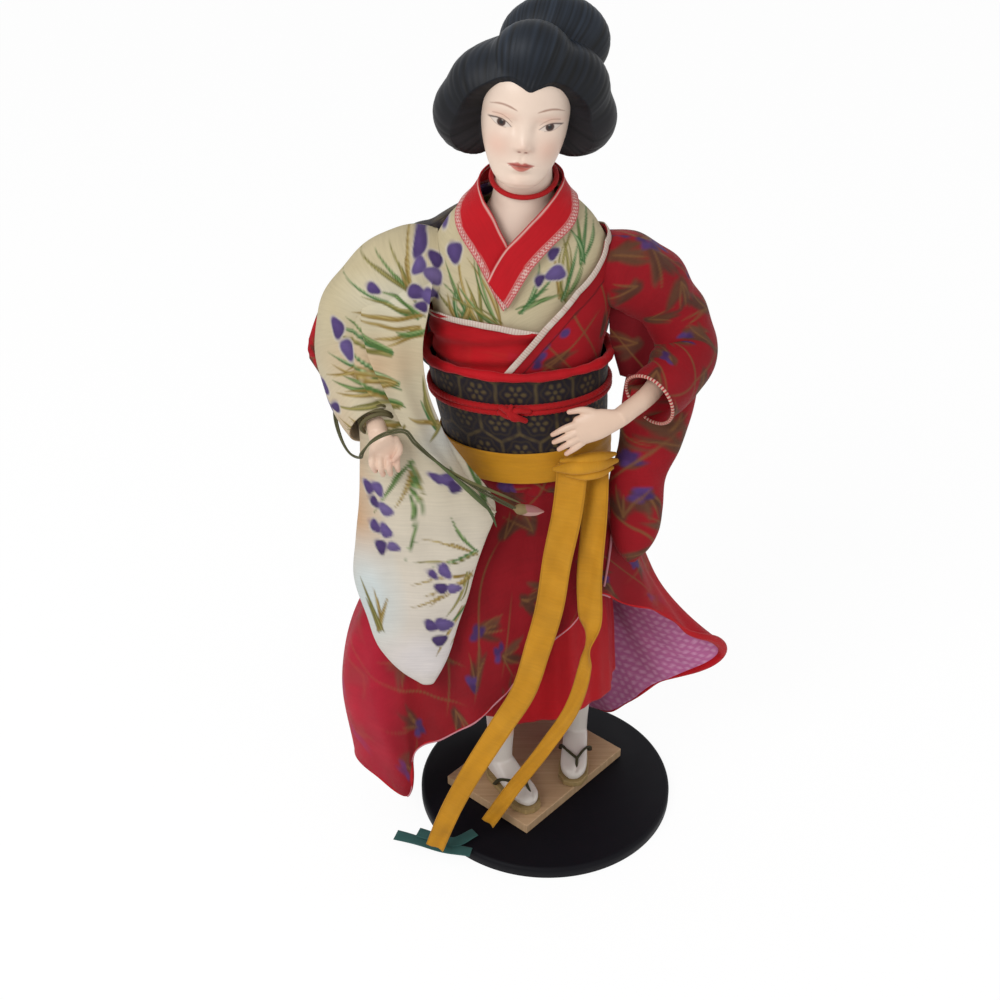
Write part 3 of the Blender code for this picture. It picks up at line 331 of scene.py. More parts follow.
# Printed patterns, painted on the mesh in millimetres across the cloth


def near(at, low, high, room):
    """Which points lie in the box from low to high, with some room round it."""
    return np.flatnonzero(((at > np.asarray(low) - room) & (at < np.asarray(high) + room)).all(axis=1))


def lay(colours, cover, paint, chosen=slice(None)):
    """Lay paint over the colours of all points, or of the chosen ones, as thick as the cover says from 0 to 1."""
    colours[chosen] += np.clip(cover, 0, 1)[:, None] * (paint - colours[chosen])


def petal(at, colours, middle, half, turn, paint, soft=0.7, lobes=0.0):
    """Oval patch: covered where a point lies inside a turned ellipse, over a soft edge."""
    chosen = near(at, middle, middle, max(half) * (1 + soft / (2 * min(half))) + 0.5)
    x, y = (at[chosen] - middle).T
    c, s = math.cos(turn), math.sin(turn)
    along, across = (x * c + y * s) / half[0], (y * c - x * s) / half[1]
    reach = np.hypot(along, across) * (1 + lobes * np.cos(3 * np.arctan2(across, along) + middle[0]))
    lay(colours, (1 - reach) * min(half) / soft + 0.5, paint, chosen)


def blade(at, colours, root, bend, tip, width, paint, soft=0.6):
    """Blade of grass: a bent line from root to tip, widest a third of the way along and pointed at the tip."""
    t = np.linspace(0, 1, 12)
    line = np.outer((1 - t) ** 2, root) + np.outer(2 * t * (1 - t), bend) + np.outer(t * t, tip)
    chosen = near(at, line.min(axis=0), line.max(axis=0), width + 1)
    if len(chosen) == 0:
        return
    spot = at[chosen]
    gap = np.full(len(chosen), 1e9)
    for i in range(len(line) - 1):
        step = line[i + 1] - line[i]
        share = np.clip((spot - line[i]) @ step / (step @ step), 0, 1)
        along = t[i] + share * (t[i + 1] - t[i])
        half = width * 0.95 * (along + 0.1) ** 0.5 * (1 - along) ** 0.75
        away = np.linalg.norm(spot - line[i] - share[:, None] * step, axis=1)
        gap = np.minimum(gap, away - half)
    lay(colours, 0.5 - gap / soft, paint, chosen)


GRASS = [(linear(a), linear(b)) for a, b in
         (("4C6B35", "8AA26A"), ("6E6A34", "A59A5E"), ("3F6B3C", "A9B98A"), ("8A7238", "B9A468"))]
PETALS = [linear(code) for code in ("4E3D6C", "5C4C7C", "43335E", "63547F")]
BLUE_PETALS = [linear(code) for code in ("43275A", "52346E", "4A2B5E")]
HALO = linear("CFC6B8")


def grass(at, colours, root, tips, seed):
    """Tuft: a two-toned blade from the root to each tip, bent to one side of the straight line."""
    width, lift = 1.5, 0.16
    rng = np.random.default_rng(seed)
    root = np.asarray(root, float)
    for tip in tips:
        tip = np.asarray(tip, float)
        way = tip - root
        side = np.array((-way[1], way[0])) * lift * rng.uniform(-1, 1)
        bend = root + way * 0.55 + side
        dark, pale = GRASS[rng.integers(len(GRASS))]
        start = root + rng.uniform(-1.2, 1.2, 2)
        blade(at, colours, start, bend, tip, width * rng.uniform(0.8, 1.25), dark)
        blade(at, colours, start + 0.2, bend + side * 0.04 + 0.2, root + way * 0.9, width * 0.42, pale, 0.5)
        blade(at, colours, start + rng.uniform(-1.5, 1.5, 2), bend + side * 0.5, root + way * rng.uniform(0.5, 0.95)
              + side * 0.5, width * 0.6, dark, 0.5)


def iris(at, colours, petals):
    """Flower head: oval petals (x, y, long half, short half, turn in degrees) with pale lines between."""
    size, rim, lobes = 1.16, 0.55, 0.12
    for x, y, long, short, turn in petals:
        petal(at, colours, (x, y), (long * size + rim, short * size + rim), math.radians(turn), HALO, lobes=lobes)
    for i, (x, y, long, short, turn) in enumerate(petals):
        paint = PETALS[i % len(PETALS)]
        petal(at, colours, (x, y), (long * size, short * size), math.radians(turn), paint, lobes=lobes)
        # A paler, softer patch towards the top left of each petal: a painted highlight.
        petal(at, colours, (x - 0.6, y + 0.9), (long * size * 0.6, short * size * 0.5), math.radians(turn + 20),
              paint * 1.35, soft=2.4)


# Irises and grass of the cream silk, as millimetres across and up, seen from the front
IRISES = (
    ((-61.3, 321.5, 4.6, 2.6, 78), (-61.5, 313.2, 3.4, 2.5, 60), (-54.2, 315.2, 3.6, 2.2, 125),
     (-55.2, 308, 4.6, 2.8, 125)),
    ((-54, 340.4, 3.6, 3, 60), (-51.5, 332.4, 4.6, 3.2, 80), (-57.9, 332.1, 3.2, 2, 75)),
    ((-45.5, 319.5, 4, 2.8, 75),),
    ((-63, 302, 3.6, 2.5, 150), (-57, 299.4, 3.8, 2.2, 130), (-60.5, 296, 2.6, 1.6, 160)),
    ((-82.1, 303.7, 2.8, 2, 150),),
    ((-98.7, 286.5, 3.4, 2.4, 110), (-94.1, 279, 3.6, 2.2, 120)),
    ((-105.6, 261, 3, 2.2, 70), (-104.3, 253, 3.6, 2.6, 100), (-99.5, 256.5, 2.4, 1.6, 40)),
    ((-85.6, 220, 3.4, 1.8, 110), (-81.4, 219.4, 3.6, 2, 110), (-83.2, 212.2, 3, 1.5, 110),
     (-78.2, 208.6, 3.6, 2.4, 130)),
    ((-83.4, 199.4, 3.4, 1.8, 110), (-78.6, 197, 3.8, 2.2, 110), (-81.1, 188.3, 3.6, 2.2, 100),
     (-75.4, 188.3, 2.8, 2.2, 160)),
    ((-54.6, 226.4, 3.4, 1.6, 135), (-49.5, 224.6, 4.2, 2.3, 140), (-46.2, 220.6, 3, 2.2, 130)),
    ((-57.2, 172.6, 2.9, 1.6, 120), (-51.6, 174.6, 4.2, 2.4, 110), (-53.4, 164.4, 3, 2.6, 150),
     (-47.4, 164, 3, 2.5, 0)),
    ((-58.8, 142.2, 3.6, 2.5, 125), (-52.6, 142, 4.2, 3.1, 140), (-54.9, 132.4, 3.2, 3, 0)),
    ((-2, 321, 2.6, 1.9, 50), (-0.8, 312.4, 4, 2.8, 10), (-8, 309.8, 2.5, 1.7, 60)),
    ((-88, 330, 2.4, 1.5, 110),),
)
TUFTS = (
    ((-61, 293), ((-97, 307), (-88, 300), (-80, 303), (-92, 293))),
    ((-60, 287), ((-90, 291), (-82, 285), (-76, 283), (-72, 288))),
    ((-64, 299), ((-82, 318), (-76, 322), (-70, 312), (-66, 333), (-90, 316))),
    ((-34, 285), ((-52, 305), (-50, 315), (-44, 322), (-41, 309), (-36, 312), (-47, 297), (-56, 301))),
    ((-44, 286), ((-49, 300), (-45, 303), (-41, 299), (-38, 303))),
    ((-26, 288), ((-45, 306), (-40, 318), (-36, 324), (-50, 299))),
    ((-73, 281), ((-101, 288), (-98, 284), (-95, 291))),
    ((-71, 270), ((-103, 277), (-101, 273), (-98, 280), (-104, 268))),
    ((-69, 262), ((-101, 267), (-99, 263), (-96, 270), (-102, 257))),
    ((-69, 252), ((-98, 253), (-95, 249), (-93, 256), (-86, 247))),
    ((-66, 234), ((-62, 213), (-65.5, 198), (-74, 210), (-70, 181), (-78, 216), (-84, 206))),
    ((-37, 184), ((-61, 192.5), (-66, 180.5), (-48, 205), (-57, 177))),
    ((-40, 172), ((-68, 166.5), (-69, 152.5), (-60, 153), (-52, 146), (-62, 160))),
    ((-42, 151), ((-50, 128), (-46, 124), (-57, 122), (-54, 137))),
    ((-33, 214), ((-48, 234), (-52, 226), (-44, 240), (-38, 232), (-56, 240))),
    ((-53, 250), ((-61, 262), (-66, 257), (-60, 271), (-57, 246))),
    ((3, 300), ((-2, 322), (2, 328), (7, 333), (9, 325), (11, 317))),
    ((-16, 296), ((-4, 306), (2, 303), (-8, 318), (0, 313))),
    ((11, 316), ((8, 336), (13, 338), (16, 331), (5, 331))),
    ((-84, 138), ((-90, 158), (-86, 165), (-79, 160), (-92, 170))),
)


def cream_print(points, normal, seed=3):
    """Cream silk: a warm ground that pales down the sleeve, irises with grass on the front, and strewn
    tufts and flowers on the back."""
    flat = points.reshape(-1, 3)
    at = flat[:, [0, 2]].copy()
    share = np.clip((300 - at[:, 1]) / 160, 0, 1)[:, None]
    colours = linear("C9BB98") * (1 - share) + linear("D8CFC3") * share
    for middle, half, paint in (((-92, 205), (7, 34), "C7A07C"), ((-88, 160), (12, 26), "D3DAD8"),
                                ((-72, 300), (16, 8), "D6CFB8"), ((-60, 120), (22, 14), "DCD5D2"),
                                ((-82, 276), (12, 5), "C8A987"), ((-48, 247), (10, 8), "C3C4BE")):
        petal(at, colours, middle, half, 0.1, linear(paint), soft=14)
    back = normal.reshape(-1, 3)[:, 1] > 0.25
    rear = at.copy()
    at[back] = 1e4
    rear[~back] = 1e4
    for i, (root, tips) in enumerate(TUFTS):
        grass(at, colours, root, tips, seed=i)
    for petals in IRISES:
        iris(at, colours, petals)
    strew(rear, colours, flat[:, [0, 2]], seed, iris_clump, 26, 0.2)
    return colours


def iris_clump(at, colours, spot, rng):
    """One clump of the strewn print: a tuft of grass with a flower over it."""
    tips = spot + rng.uniform((-14, 6), (14, 24), (5, 2))
    grass(at, colours, spot, tips, seed=int(rng.integers(1000)))
    turn = rng.uniform(0, 180)
    heads = [(*(spot + rng.uniform(-5, 5, 2) + (0, 16)), rng.uniform(3, 4.2), rng.uniform(2, 2.8), turn + 40 * k)
             for k in range(3)]
    iris(at, colours, heads)


def strew(at, colours, area, seed, clump, pitch, shake):
    """Clumps on a shaken grid over the printed area, row by row, half a step out from one row to the next."""
    rng = np.random.default_rng(seed)
    low, high = area.min(axis=0) - pitch, area.max(axis=0) + pitch
    for row, v in enumerate(np.arange(low[1], high[1], pitch)):
        for u in np.arange(low[0] + (row % 2) * pitch / 2, high[0], pitch):
            clump(at, colours, np.array((u, v)) + rng.uniform(-shake, shake, 2) * pitch, rng)


OLIVE = [linear(code) for code in ("4C3526", "583F28", "40301F", "5C4630")]
GOLD_LINE = linear("7C5230")


def red_clump(at, colours, spot, rng):
    """One clump: a fan of broad olive leaves, some with gold lines over them, and now and then a flower."""
    lean = rng.uniform(0, FULL_TURN)
    for _ in range(rng.integers(4, 7)):
        way = lean + rng.uniform(-0.6, 0.6)
        tip = spot + np.array((math.cos(way), math.sin(way))) * rng.uniform(9, 17)
        bend = (spot + tip) / 2 + rng.uniform(-3, 3, 2)
        blade(at, colours, spot + rng.uniform(-2, 2, 2), bend, tip, rng.uniform(2.4, 4.4),
              OLIVE[rng.integers(len(OLIVE))] * 0.8 + linear("7A1420") * 0.2, 2.2)
    for _ in range(rng.integers(1, 4)):
        way = lean + rng.uniform(-0.9, 0.9)
        tip = spot + np.array((math.cos(way), math.sin(way))) * rng.uniform(10, 17)
        blade(at, colours, spot, (spot + tip) / 2 + rng.uniform(-2, 2, 2), tip, 0.9, GOLD_LINE, 0.8)
    if rng.uniform() < 0.42:
        head = spot + rng.uniform(-3, 3, 2)
        start = rng.uniform(0, FULL_TURN)
        for i in range(rng.integers(3, 6)):
            a = start + i * 1.35
            petal(at, colours, head + np.array((math.cos(a), math.sin(a))) * 2.5, (2.3, 1.8), a,
                  BLUE_PETALS[rng.integers(3)], 1.4, 0.1)


def red_print(at, seed, pitch, ground="A50F1C", named=()):
    """Red silk: uneven dye with clumps of olive leaves and blue flowers strewn over it, then the flowers
    that sit at named places."""
    colours = even(ground, at)
    strew(at, colours, at, seed, red_clump, pitch, 0.25)
    for petals in named:
        for x, y in petals:
            petal(at, colours, (x, y), (2.5, 2.1), 0.4, BLUE_PETALS[1], 1.2)
    flat_u, flat_v = at.T
    for turn, step in ((0.6, 17.0), (2.2, 21.0)):
        line = (flat_u * math.cos(turn) + flat_v * math.sin(turn) + 2.5 * np.sin(flat_v * 0.09 + turn)) % step
        seen = np.clip(np.sin(flat_u * 0.045 + turn) * np.sin(flat_v * 0.05) * 3, 0, 0.75)
        lay(colours, np.clip((0.5 - np.abs(line - step / 2)) / 0.5 + 0.5, 0, 1) * seen, GOLD_LINE)
    return colours


# The doll's body, which the clothes follow: height, middle, half width and half depth at each level
TORSO = np.array((
    (137, -8, 1, 26, 22),
    (187, -9, 0, 31, 26),
    (222, -13, 0, 33, 25.5),
    (264, -17, 0, 36, 25),
    (285, -16.5, 0, 38.5, 24.5),
    (302, -16, 0, 40.5, 22.5),
    (312, -16, 0, 40, 21),
    (318, -16, 0, 38.5, 19.5),
    (325, -16, 0, 35, 18),
    (331, -16, 0, 31, 17),
    (337, -16, 0, 25, 15.5),
    (342, -16, 0, 19.4, 14.1),
    (347, -16, 0, 16.4, 13.6),
    (356, -16, 0, 16, 13.5),
), float)
# How far each layer of cloth lies out from the body
CREAM_OUT = 1.3
RED_OUT = 3.0
CROSSED_OUT = 4.7
OBI_OUT = 7.0
SASH_OUT = 8.3
# Heights of the edges of the sashes and bodices, and of the cords round the obi and the neck
OBI_LOW, OBI_HIGH = 221, 264
SASH_LOW, SASH_HIGH = 211, 227
BODICE_LOW = 253
ROLL_HEIGHT = 266.6
OBI_CORD_HEIGHT = 250
NECK_CORD_HEIGHT = 350.3
NECK_RADIUS = 12.6


def on_body(turn, height, out):
    """Point at a turn round the body and a height, moved out along the body's normal."""
    turn, height, out = np.broadcast_arrays(np.asarray(turn, float), height, out)

    def plain(a, h):
        """Point on the bare body."""
        x, y, wide, deep = (smooth_read(h, TORSO[:, 0], TORSO[:, i]) for i in range(1, 5))
        return np.stack([x + wide * np.cos(a), y + deep * np.sin(a), h], axis=-1)

    normal = np.cross(plain(turn + 0.01, height) - plain(turn - 0.01, height),
                      plain(turn, height + 0.5) - plain(turn, height - 0.5))
    normal /= np.linalg.norm(normal, axis=-1)[..., None]
    return plain(turn, height) + normal * out[..., None]


def round_body(count):
    """Turns round the body from behind, packed closer at the front."""
    s = np.linspace(-1, 1, count, endpoint=False)
    return -math.pi / 2 + math.pi * s * (0.72 + 0.28 * s * s)


# Light, floor and camera

# How much of the white room lights the doll, and how white the camera sees the floor
ROOM_LIGHT = 0.55
FLOOR_WHITE = 0.9


def seen_by_camera(tree):
    """1 where the camera sees a thing itself, in a shine or through something, and 0 where it only lights others."""
    path = add(tree, "ShaderNodeLightPath").outputs
    seen = add(tree, "ShaderNodeMath", {0: path["Is Camera Ray"], 1: path["Is Glossy Ray"]}, operation="MAXIMUM")
    seen = add(tree, "ShaderNodeMath", {0: seen.outputs[0], 1: path["Is Transmission Ray"]}, operation="MAXIMUM")
    return seen.outputs[0]


def studio():
    """Even white room light with one soft lamp at the upper left and a weaker one at the right, over a
    floor that the camera sees as white with the doll's shadow on it."""
    scene = bpy.context.scene
    scene.view_settings.view_transform = "Standard"
    camera = bpy.data.objects.new("camera", bpy.data.cameras.new("camera"))
    camera.data.sensor_width = 36
    camera.data.lens = 54
    camera.data.clip_start = 0.01
    camera.location = (-0.0255, -0.634, 0.596)
    camera.rotation_euler = (math.radians(57.6), 0, 0)
    scene.collection.objects.link(camera)
    scene.camera = camera
    world = bpy.data.worlds.new("white_room")
    world.use_nodes = True
    scene.world = world
    tree = world.node_tree
    level = add(tree, "ShaderNodeMath", {0: seen_by_camera(tree), 1: 1 - ROOM_LIGHT, 2: ROOM_LIGHT},
                operation="MULTIPLY_ADD")
    tree.nodes["Background"].inputs["Color"].default_value = (1, 1, 1, 1)
    tree.links.new(level.outputs[0], tree.nodes["Background"].inputs["Strength"])
    for name, place, power, size in (("key_lamp", (-0.75, -0.95, 1.15), 10.0, 0.7),
                                     ("fill_lamp", (1.1, -0.7, 0.6), 1.6, 1.0)):
        lamp = bpy.data.lights.new(name, "AREA")
        lamp.energy = power
        lamp.size = size
        thing = bpy.data.objects.new(name, lamp)
        away = np.array(place) - (0, 0, 0.25)
        thing.location = place
        thing.rotation_euler = (math.atan2(math.hypot(away[0], away[1]), away[2]), 0,
                                math.atan2(away[1], away[0]) + math.pi / 2)
        scene.collection.objects.link(thing)
    ground = bpy.data.meshes.new("floor")
    ground.from_pydata([(-6, -6, 0), (6, -6, 0), (6, 6, 0), (-6, 6, 0)], [], [(0, 1, 2, 3)])
    floor = bpy.data.objects.new("floor", ground)
    scene.collection.objects.link(floor)
    made = bpy.data.materials.new("white_paper_floor")
    made.use_nodes = True
    tree = made.node_tree
    share = add(tree, "ShaderNodeMath", {0: seen_by_camera(tree), 1: FLOOR_WHITE}, operation="MULTIPLY").outputs[0]
    paper = add(tree, "ShaderNodeBsdfDiffuse", {"Color": (0.95, 0.95, 0.95, 1)}).outputs[0]
    white = add(tree, "ShaderNodeEmission", {"Color": (1, 1, 1, 1), "Strength": 1.03}).outputs[0]
    mixed = add(tree, "ShaderNodeMixShader", {0: share, 1: paper, 2: white})
    tree.links.new(mixed.outputs[0], tree.nodes["Material Output"].inputs["Surface"])
    ground.materials.append(made)


studio()


# Finishes


def lacquered(name):
    """Black lacquer on turned wood: near black with a violet cast, a soft gloss, and faint brush waves."""
    made, tree, shader = material(name, 0.55, Specular_IOR_Level=0.12)
    shader.inputs["Base Color"].default_value = rgba("0B0A10")
    place = add(tree, "ShaderNodeTexCoord").outputs["Object"]
    dust = add(tree, "ShaderNodeTexNoise", {"Vector": place, "Scale": 60.0, "Detail": 5.0}).outputs["Fac"]
    gloss = add(tree, "ShaderNodeMapRange", {"Value": dust, "To Min": 0.5, "To Max": 0.68}).outputs[0]
    tree.links.new(gloss, shader.inputs["Roughness"])
    wave = add(tree, "ShaderNodeTexNoise", {"Vector": place, "Scale": 25.0, "Detail": 1.0}).outputs["Fac"]
    bump = add(tree, "ShaderNodeBump", {"Height": wave, "Strength": 0.15, "Distance": 0.3 * MM})
    tree.links.new(bump.outputs[0], shader.inputs["Normal"])
    return made


def sawn(name, dark, pale, turn, pitch):
    """Plain wood or rush: long streaks along one way, darker and paler, with a shallow grain."""
    made, tree, shader = material(name, 0.6, Specular_IOR_Level=0.35)
    place = add(tree, "ShaderNodeTexCoord").outputs["Object"]
    along = add(tree, "ShaderNodeMapping", {"Vector": place, "Rotation": (0, 0, turn),
                                            "Scale": (18, 1 / (pitch * MM), 60)}).outputs[0]
    grain = add(tree, "ShaderNodeTexNoise", {"Vector": along, "Scale": 1.0, "Detail": 4.0,
                                             "Distortion": 0.4}).outputs["Fac"]
    mixed = add(tree, "ShaderNodeMix", {0: grain, 6: rgba(dark), 7: rgba(pale)}, data_type="RGBA").outputs[2]
    tree.links.new(mixed, shader.inputs["Base Color"])
    bump = add(tree, "ShaderNodeBump", {"Height": grain, "Strength": 0.4, "Distance": 0.15 * MM})
    tree.links.new(bump.outputs[0], shader.inputs["Normal"])
    return made


def painted(name, roughness, relief, scale, coat=0.0, wear=0.04, gloss=0.4):
    """Fired and painted porcelain: the colour that the mesh carries, slightly uneven, with a fine surface."""
    made, tree, shader = material(name, roughness, Coat_Weight=coat, Coat_Roughness=0.25, Specular_IOR_Level=gloss)
    colour = add(tree, "ShaderNodeAttribute", attribute_name="print").outputs["Color"]
    place = add(tree, "ShaderNodeTexCoord").outputs["Object"]
    blotch = add(tree, "ShaderNodeTexNoise", {"Vector": place, "Scale": 70.0, "Detail": 4.0}).outputs["Fac"]
    tone = add(tree, "ShaderNodeMapRange", {"Value": blotch, "From Min": 0.3, "From Max": 0.7,
                                            "To Min": 1 - wear, "To Max": 1 + wear * 0.5}).outputs[0]
    shade = add(tree, "ShaderNodeVectorMath", {0: colour, "Scale": tone}, operation="SCALE").outputs[0]
    tree.links.new(shade, shader.inputs["Base Color"])
    fine = add(tree, "ShaderNodeTexNoise", {"Vector": place, "Scale": scale, "Detail": 3.0}).outputs["Fac"]
    bump = add(tree, "ShaderNodeBump", {"Height": fine, "Strength": 0.3, "Distance": relief * MM})
    tree.links.new(bump.outputs[0], shader.inputs["Normal"])
    return made


def drawn_wire(name):
    """Bare drawn metal: a grey metal whose roughness rises and falls in streaks along the wire."""
    made, tree, shader = material(name, 0.35, Metallic=1.0)
    place = add(tree, "ShaderNodeTexCoord").outputs["Object"]
    along = add(tree, "ShaderNodeMapping", {"Vector": place, "Scale": (2000, 2000, 120)}).outputs[0]
    streak = add(tree, "ShaderNodeTexNoise", {"Vector": along, "Scale": 1.0, "Detail": 3.0}).outputs["Fac"]
    rough = add(tree, "ShaderNodeMapRange", {"Value": streak, "To Min": 0.25, "To Max": 0.5}).outputs[0]
    tree.links.new(rough, shader.inputs["Roughness"])
    tint = add(tree, "ShaderNodeMix", {0: streak, 6: rgba("9C9C9C"), 7: rgba("B4B4B4")}, data_type="RGBA").outputs[2]
    tree.links.new(tint, shader.inputs["Base Color"])
    return made


# Black lacquer on a turned disc: near black, with a soft even shine and a little dust
LACQUER = lacquered("black_lacquer")
# Softwood board: growth rings about a millimetre apart, honey brown with dark streaks
BOARD_WOOD = sawn("pine_board", "A5825E", "CFB08B", -math.radians(48.4), 1.1)
# Rush soles: fine parallel stalks, drawn at 0.8 mm so that they show
RUSH = sawn("woven_rush", "7D6640", "B79E6C", math.radians(56), 0.8)
# Drawn steel wire: bare metal with fine marks along it that roughen the shine in places
STEEL = drawn_wire("drawn_steel_wire")
# Bisque porcelain, painted and only lightly glazed: a soft broad highlight
SKIN = painted("bisque_porcelain", 0.42, 0.02, 900.0, coat=0.12)
# Glazed porcelain of the socks: whiter than the skin and a little glossier
SOCK = painted("glazed_porcelain_sock", 0.38, 0.03, 500.0, coat=0.2)
# Moulded hair painted blue-black: combed strands with a dull shine, a painted blue-grey reflection over the top and
# painted shade in the grooves
HAIR = painted("painted_combed_hair", 0.5, 0.05, 700.0, wear=0.2, gloss=0.22)
# Silk crepe: threads about 0.25 mm apart, drawn at 0.6 mm so that they show
CREAM_SILK = woven("printed_cream_silk", None, 0.6, roughness=0.8, depth=0.1, wear=0.1, sheen=0.15)
RED_SILK = woven("printed_red_silk", None, 0.6, roughness=0.7, depth=0.12, wear=0.22, sheen=0.3)
# The same crepe dyed red all over, for the underskirt, the roll over the obi and the padded hem
PLAIN_RED = woven("plain_red_silk", "BC0F1B", 0.6, roughness=0.62, depth=0.12, wear=0.16, sheen=0.35)
# Smooth red silk of the collar, with its pale piping and zigzag braid painted on the mesh
BRIGHT_RED = woven("painted_red_trim", None, 0.5, roughness=0.6, depth=0.12, wear=0.1, sheen=0.3)
# Thin pink lining with pale dots: the dots are drawn coarser than the real ones so that they show
LINING = woven("pink_dotted_lining", None, 0.8, roughness=0.75, depth=0.16, wear=0.12, sheen=0.2)
# Stiff brocade: dull gold figures on dark violet, drawn larger than the real ones so that they show
BROCADE = woven("gold_figured_brocade", None, 0.7, roughness=0.6, depth=0.2, wear=0.15, sheen=0.15)
# Yellow satin: a smooth face with a soft sheen, brown smudges, and a darker line along the edges of the tails
YELLOW_SILK = woven("yellow_satin", None, 0.5, roughness=0.55, depth=0.08, wear=0.14, sheen=0.3)
# Narrow braid and piping: matt thread whose stripes are painted on the mesh
TRIM = woven("striped_braid", None, 0.5, roughness=0.8, depth=0.12, wear=0.06, sheen=0.1)
# Twisted red silk cord: close strands that catch the light
CORD = woven("twisted_red_cord", "B3151A", 0.5, roughness=0.6, depth=0.15, wear=0.14, sheen=0.3)
# Unbleached calico of the stuffed body: pale and quite matt
CALICO = woven("unbleached_calico", "D3C7B2", 0.8, roughness=0.9, depth=0.15, wear=0.08, sheen=0.1)
# Woven teal ribbon, faded in patches
TEAL = woven("teal_ribbon", "3A6460", 0.6, roughness=0.7, depth=0.1, wear=0.2, sheen=0.2)
# Paper-wrapped wire, silk leaves and bud: matt, with the paint of each piece on its mesh
LEAF = painted("wrapped_leaf_green", 0.7, 0.08, 400.0, wear=0.25)


# Stand, legs and hands


def lathe(profile, count):
    """Surface of revolution: each (radius, height) of the profile goes round in a circle."""
    turn = circle(count)
    radius, height = np.asarray(profile, float).T[..., None]
    return np.stack([radius * np.cos(turn), radius * np.sin(turn), height + 0 * turn], -1)


def eased_solid(name, node, finish, width):
    """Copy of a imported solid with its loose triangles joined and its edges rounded."""
    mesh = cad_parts[node].data.copy()
    shape = bmesh.new()
    shape.from_mesh(mesh)
    bmesh.ops.remove_doubles(shape, verts=shape.verts, dist=1e-6)
    bmesh.ops.dissolve_limit(shape, angle_limit=0.02, verts=shape.verts, edges=shape.edges)
    shape.to_mesh(mesh)
    shape.free()
    made = bpy.data.objects.new(name, mesh)
    bpy.context.scene.collection.objects.link(made)
    edge = made.modifiers.new("eased_edge", "BEVEL")
    edge.width = width * MM
    edge.segments = 3
    edge.limit_method = "ANGLE"
    mesh.shade_smooth()
    mesh.set_sharp_from_angle(angle=math.radians(35))
    return dress(made, finish, (node,))


def blended(name, grids, finish, replaces, voxel, smooth, paint):
    """Closed forms melted into one skin: voxels of a given size, then smoothed; painted by place."""
    rough = piece(name + "_forms", grids, finish)
    remesh = rough.modifiers.new("melt", "REMESH")
    remesh.mode = "VOXEL"
    remesh.voxel_size = voxel * MM
    soft = rough.modifiers.new("soft", "SMOOTH")
    soft.factor = 0.5
    soft.iterations = smooth
    view = rough.evaluated_get(bpy.context.evaluated_depsgraph_get())
    mesh = bpy.data.meshes.new_from_object(view)
    mesh.name = name
    bpy.data.objects.remove(rough)
    points = np.empty(len(mesh.vertices) * 3, np.float32)
    mesh.vertices.foreach_get("co", points)
    points = points.reshape(-1, 3) / MM - (0, 0, BOARD_TOP)
    while mesh.color_attributes:
        mesh.color_attributes.remove(mesh.color_attributes[0])
    while mesh.uv_layers:
        mesh.uv_layers.remove(mesh.uv_layers[0])
    give_attributes(mesh, points[:, [0, 2]], paint(points))
    mesh.shade_smooth()
    made = bpy.data.objects.new(name, mesh)
    bpy.context.scene.collection.objects.link(made)
    return dress(made, finish, replaces)


def limb(path, wide, deep=None, count=24, sides=20, towards=(0, 1, 0.2)):
    """Closed tube along a smooth curve; its half widths are read along the curve too."""
    deep = wide if deep is None else deep
    shape = smooth_path(np.column_stack([np.asarray(path, float), wide, deep]), count)
    return {"points": tube(shape[:, :3], shape[:, 3], shape[:, 4], sides, towards), "wrap": True, "ends": True}


def rounded_limb(path, wide, deep=None, count=16, sides=16, towards=(0, 1, 0.2)):
    """Tube whose two ends close in round domes."""
    deep = wide if deep is None else deep
    shape = smooth_path(np.column_stack([np.asarray(path, float), wide, deep]), count)
    dome = np.radians((75, 50, 25))
    ends = []
    for end, inner in ((0, 1), (-1, -2)):
        way = unit(shape[end, :3] - shape[inner, :3])
        cap = np.repeat(shape[end][None], 3, axis=0)
        cap[:, :3] += way * (np.sin(dome) * shape[end, 4])[:, None]
        cap[:, 3:] *= np.cos(dome)[:, None]
        ends.append(cap)
    shape = np.vstack([ends[0], shape, ends[1][::-1]])
    return {"points": tube(shape[:, :3], shape[:, 3], shape[:, 4], sides, towards), "wrap": True, "ends": True}


def stand():
    """Lacquered disc with a rounded edge, the board on it, the soles of the sandals and the wire pins."""
    bend = np.radians(np.linspace(0, 90, 9))
    edge = [(BASE_RADIUS - 2.2 * (1 - s), BASE_HEIGHT - 2.2 * (1 - c)) for s, c in zip(np.sin(bend), np.cos(bend))]
    profile = np.array([(12, BASE_HEIGHT), (45, BASE_HEIGHT), *edge, (BASE_RADIUS, 0.8), (BASE_RADIUS - 0.8, 0),
                        (12, 0)])
    profile[:, 1] -= BOARD_TOP
    piece("lacquered_disc", [{"points": lathe(profile, 192), "wrap": True, "ends": True}], LACQUER,
          ("base_disc",))
    eased_solid("pine_foot_board", "foot_board", BOARD_WOOD, 0.4)
    for side in ("right", "left"):
        eased_solid(side + "_rush_sole", side + "_sandal_sole", RUSH, 0.6)
        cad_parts[side + "_foot_pin"].data.materials.clear()
        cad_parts[side + "_foot_pin"].data.materials.append(STEEL)


FOOT_SHAPE = np.array(((-10.2, 0.2, 3), (-9.6, 0.42, 6), (-8.4, 0.66, 10), (-5, 0.85, 13.5), (0, 0.92, 15),
                       (5, 0.94, 13),
                       (10, 0.96, 10.4), (16, 1, 8.4), (22, 0.97, 7), (26, 0.82, 6), (28.4, 0.55, 4.6),
                       (29.4, 0.3, 3)))


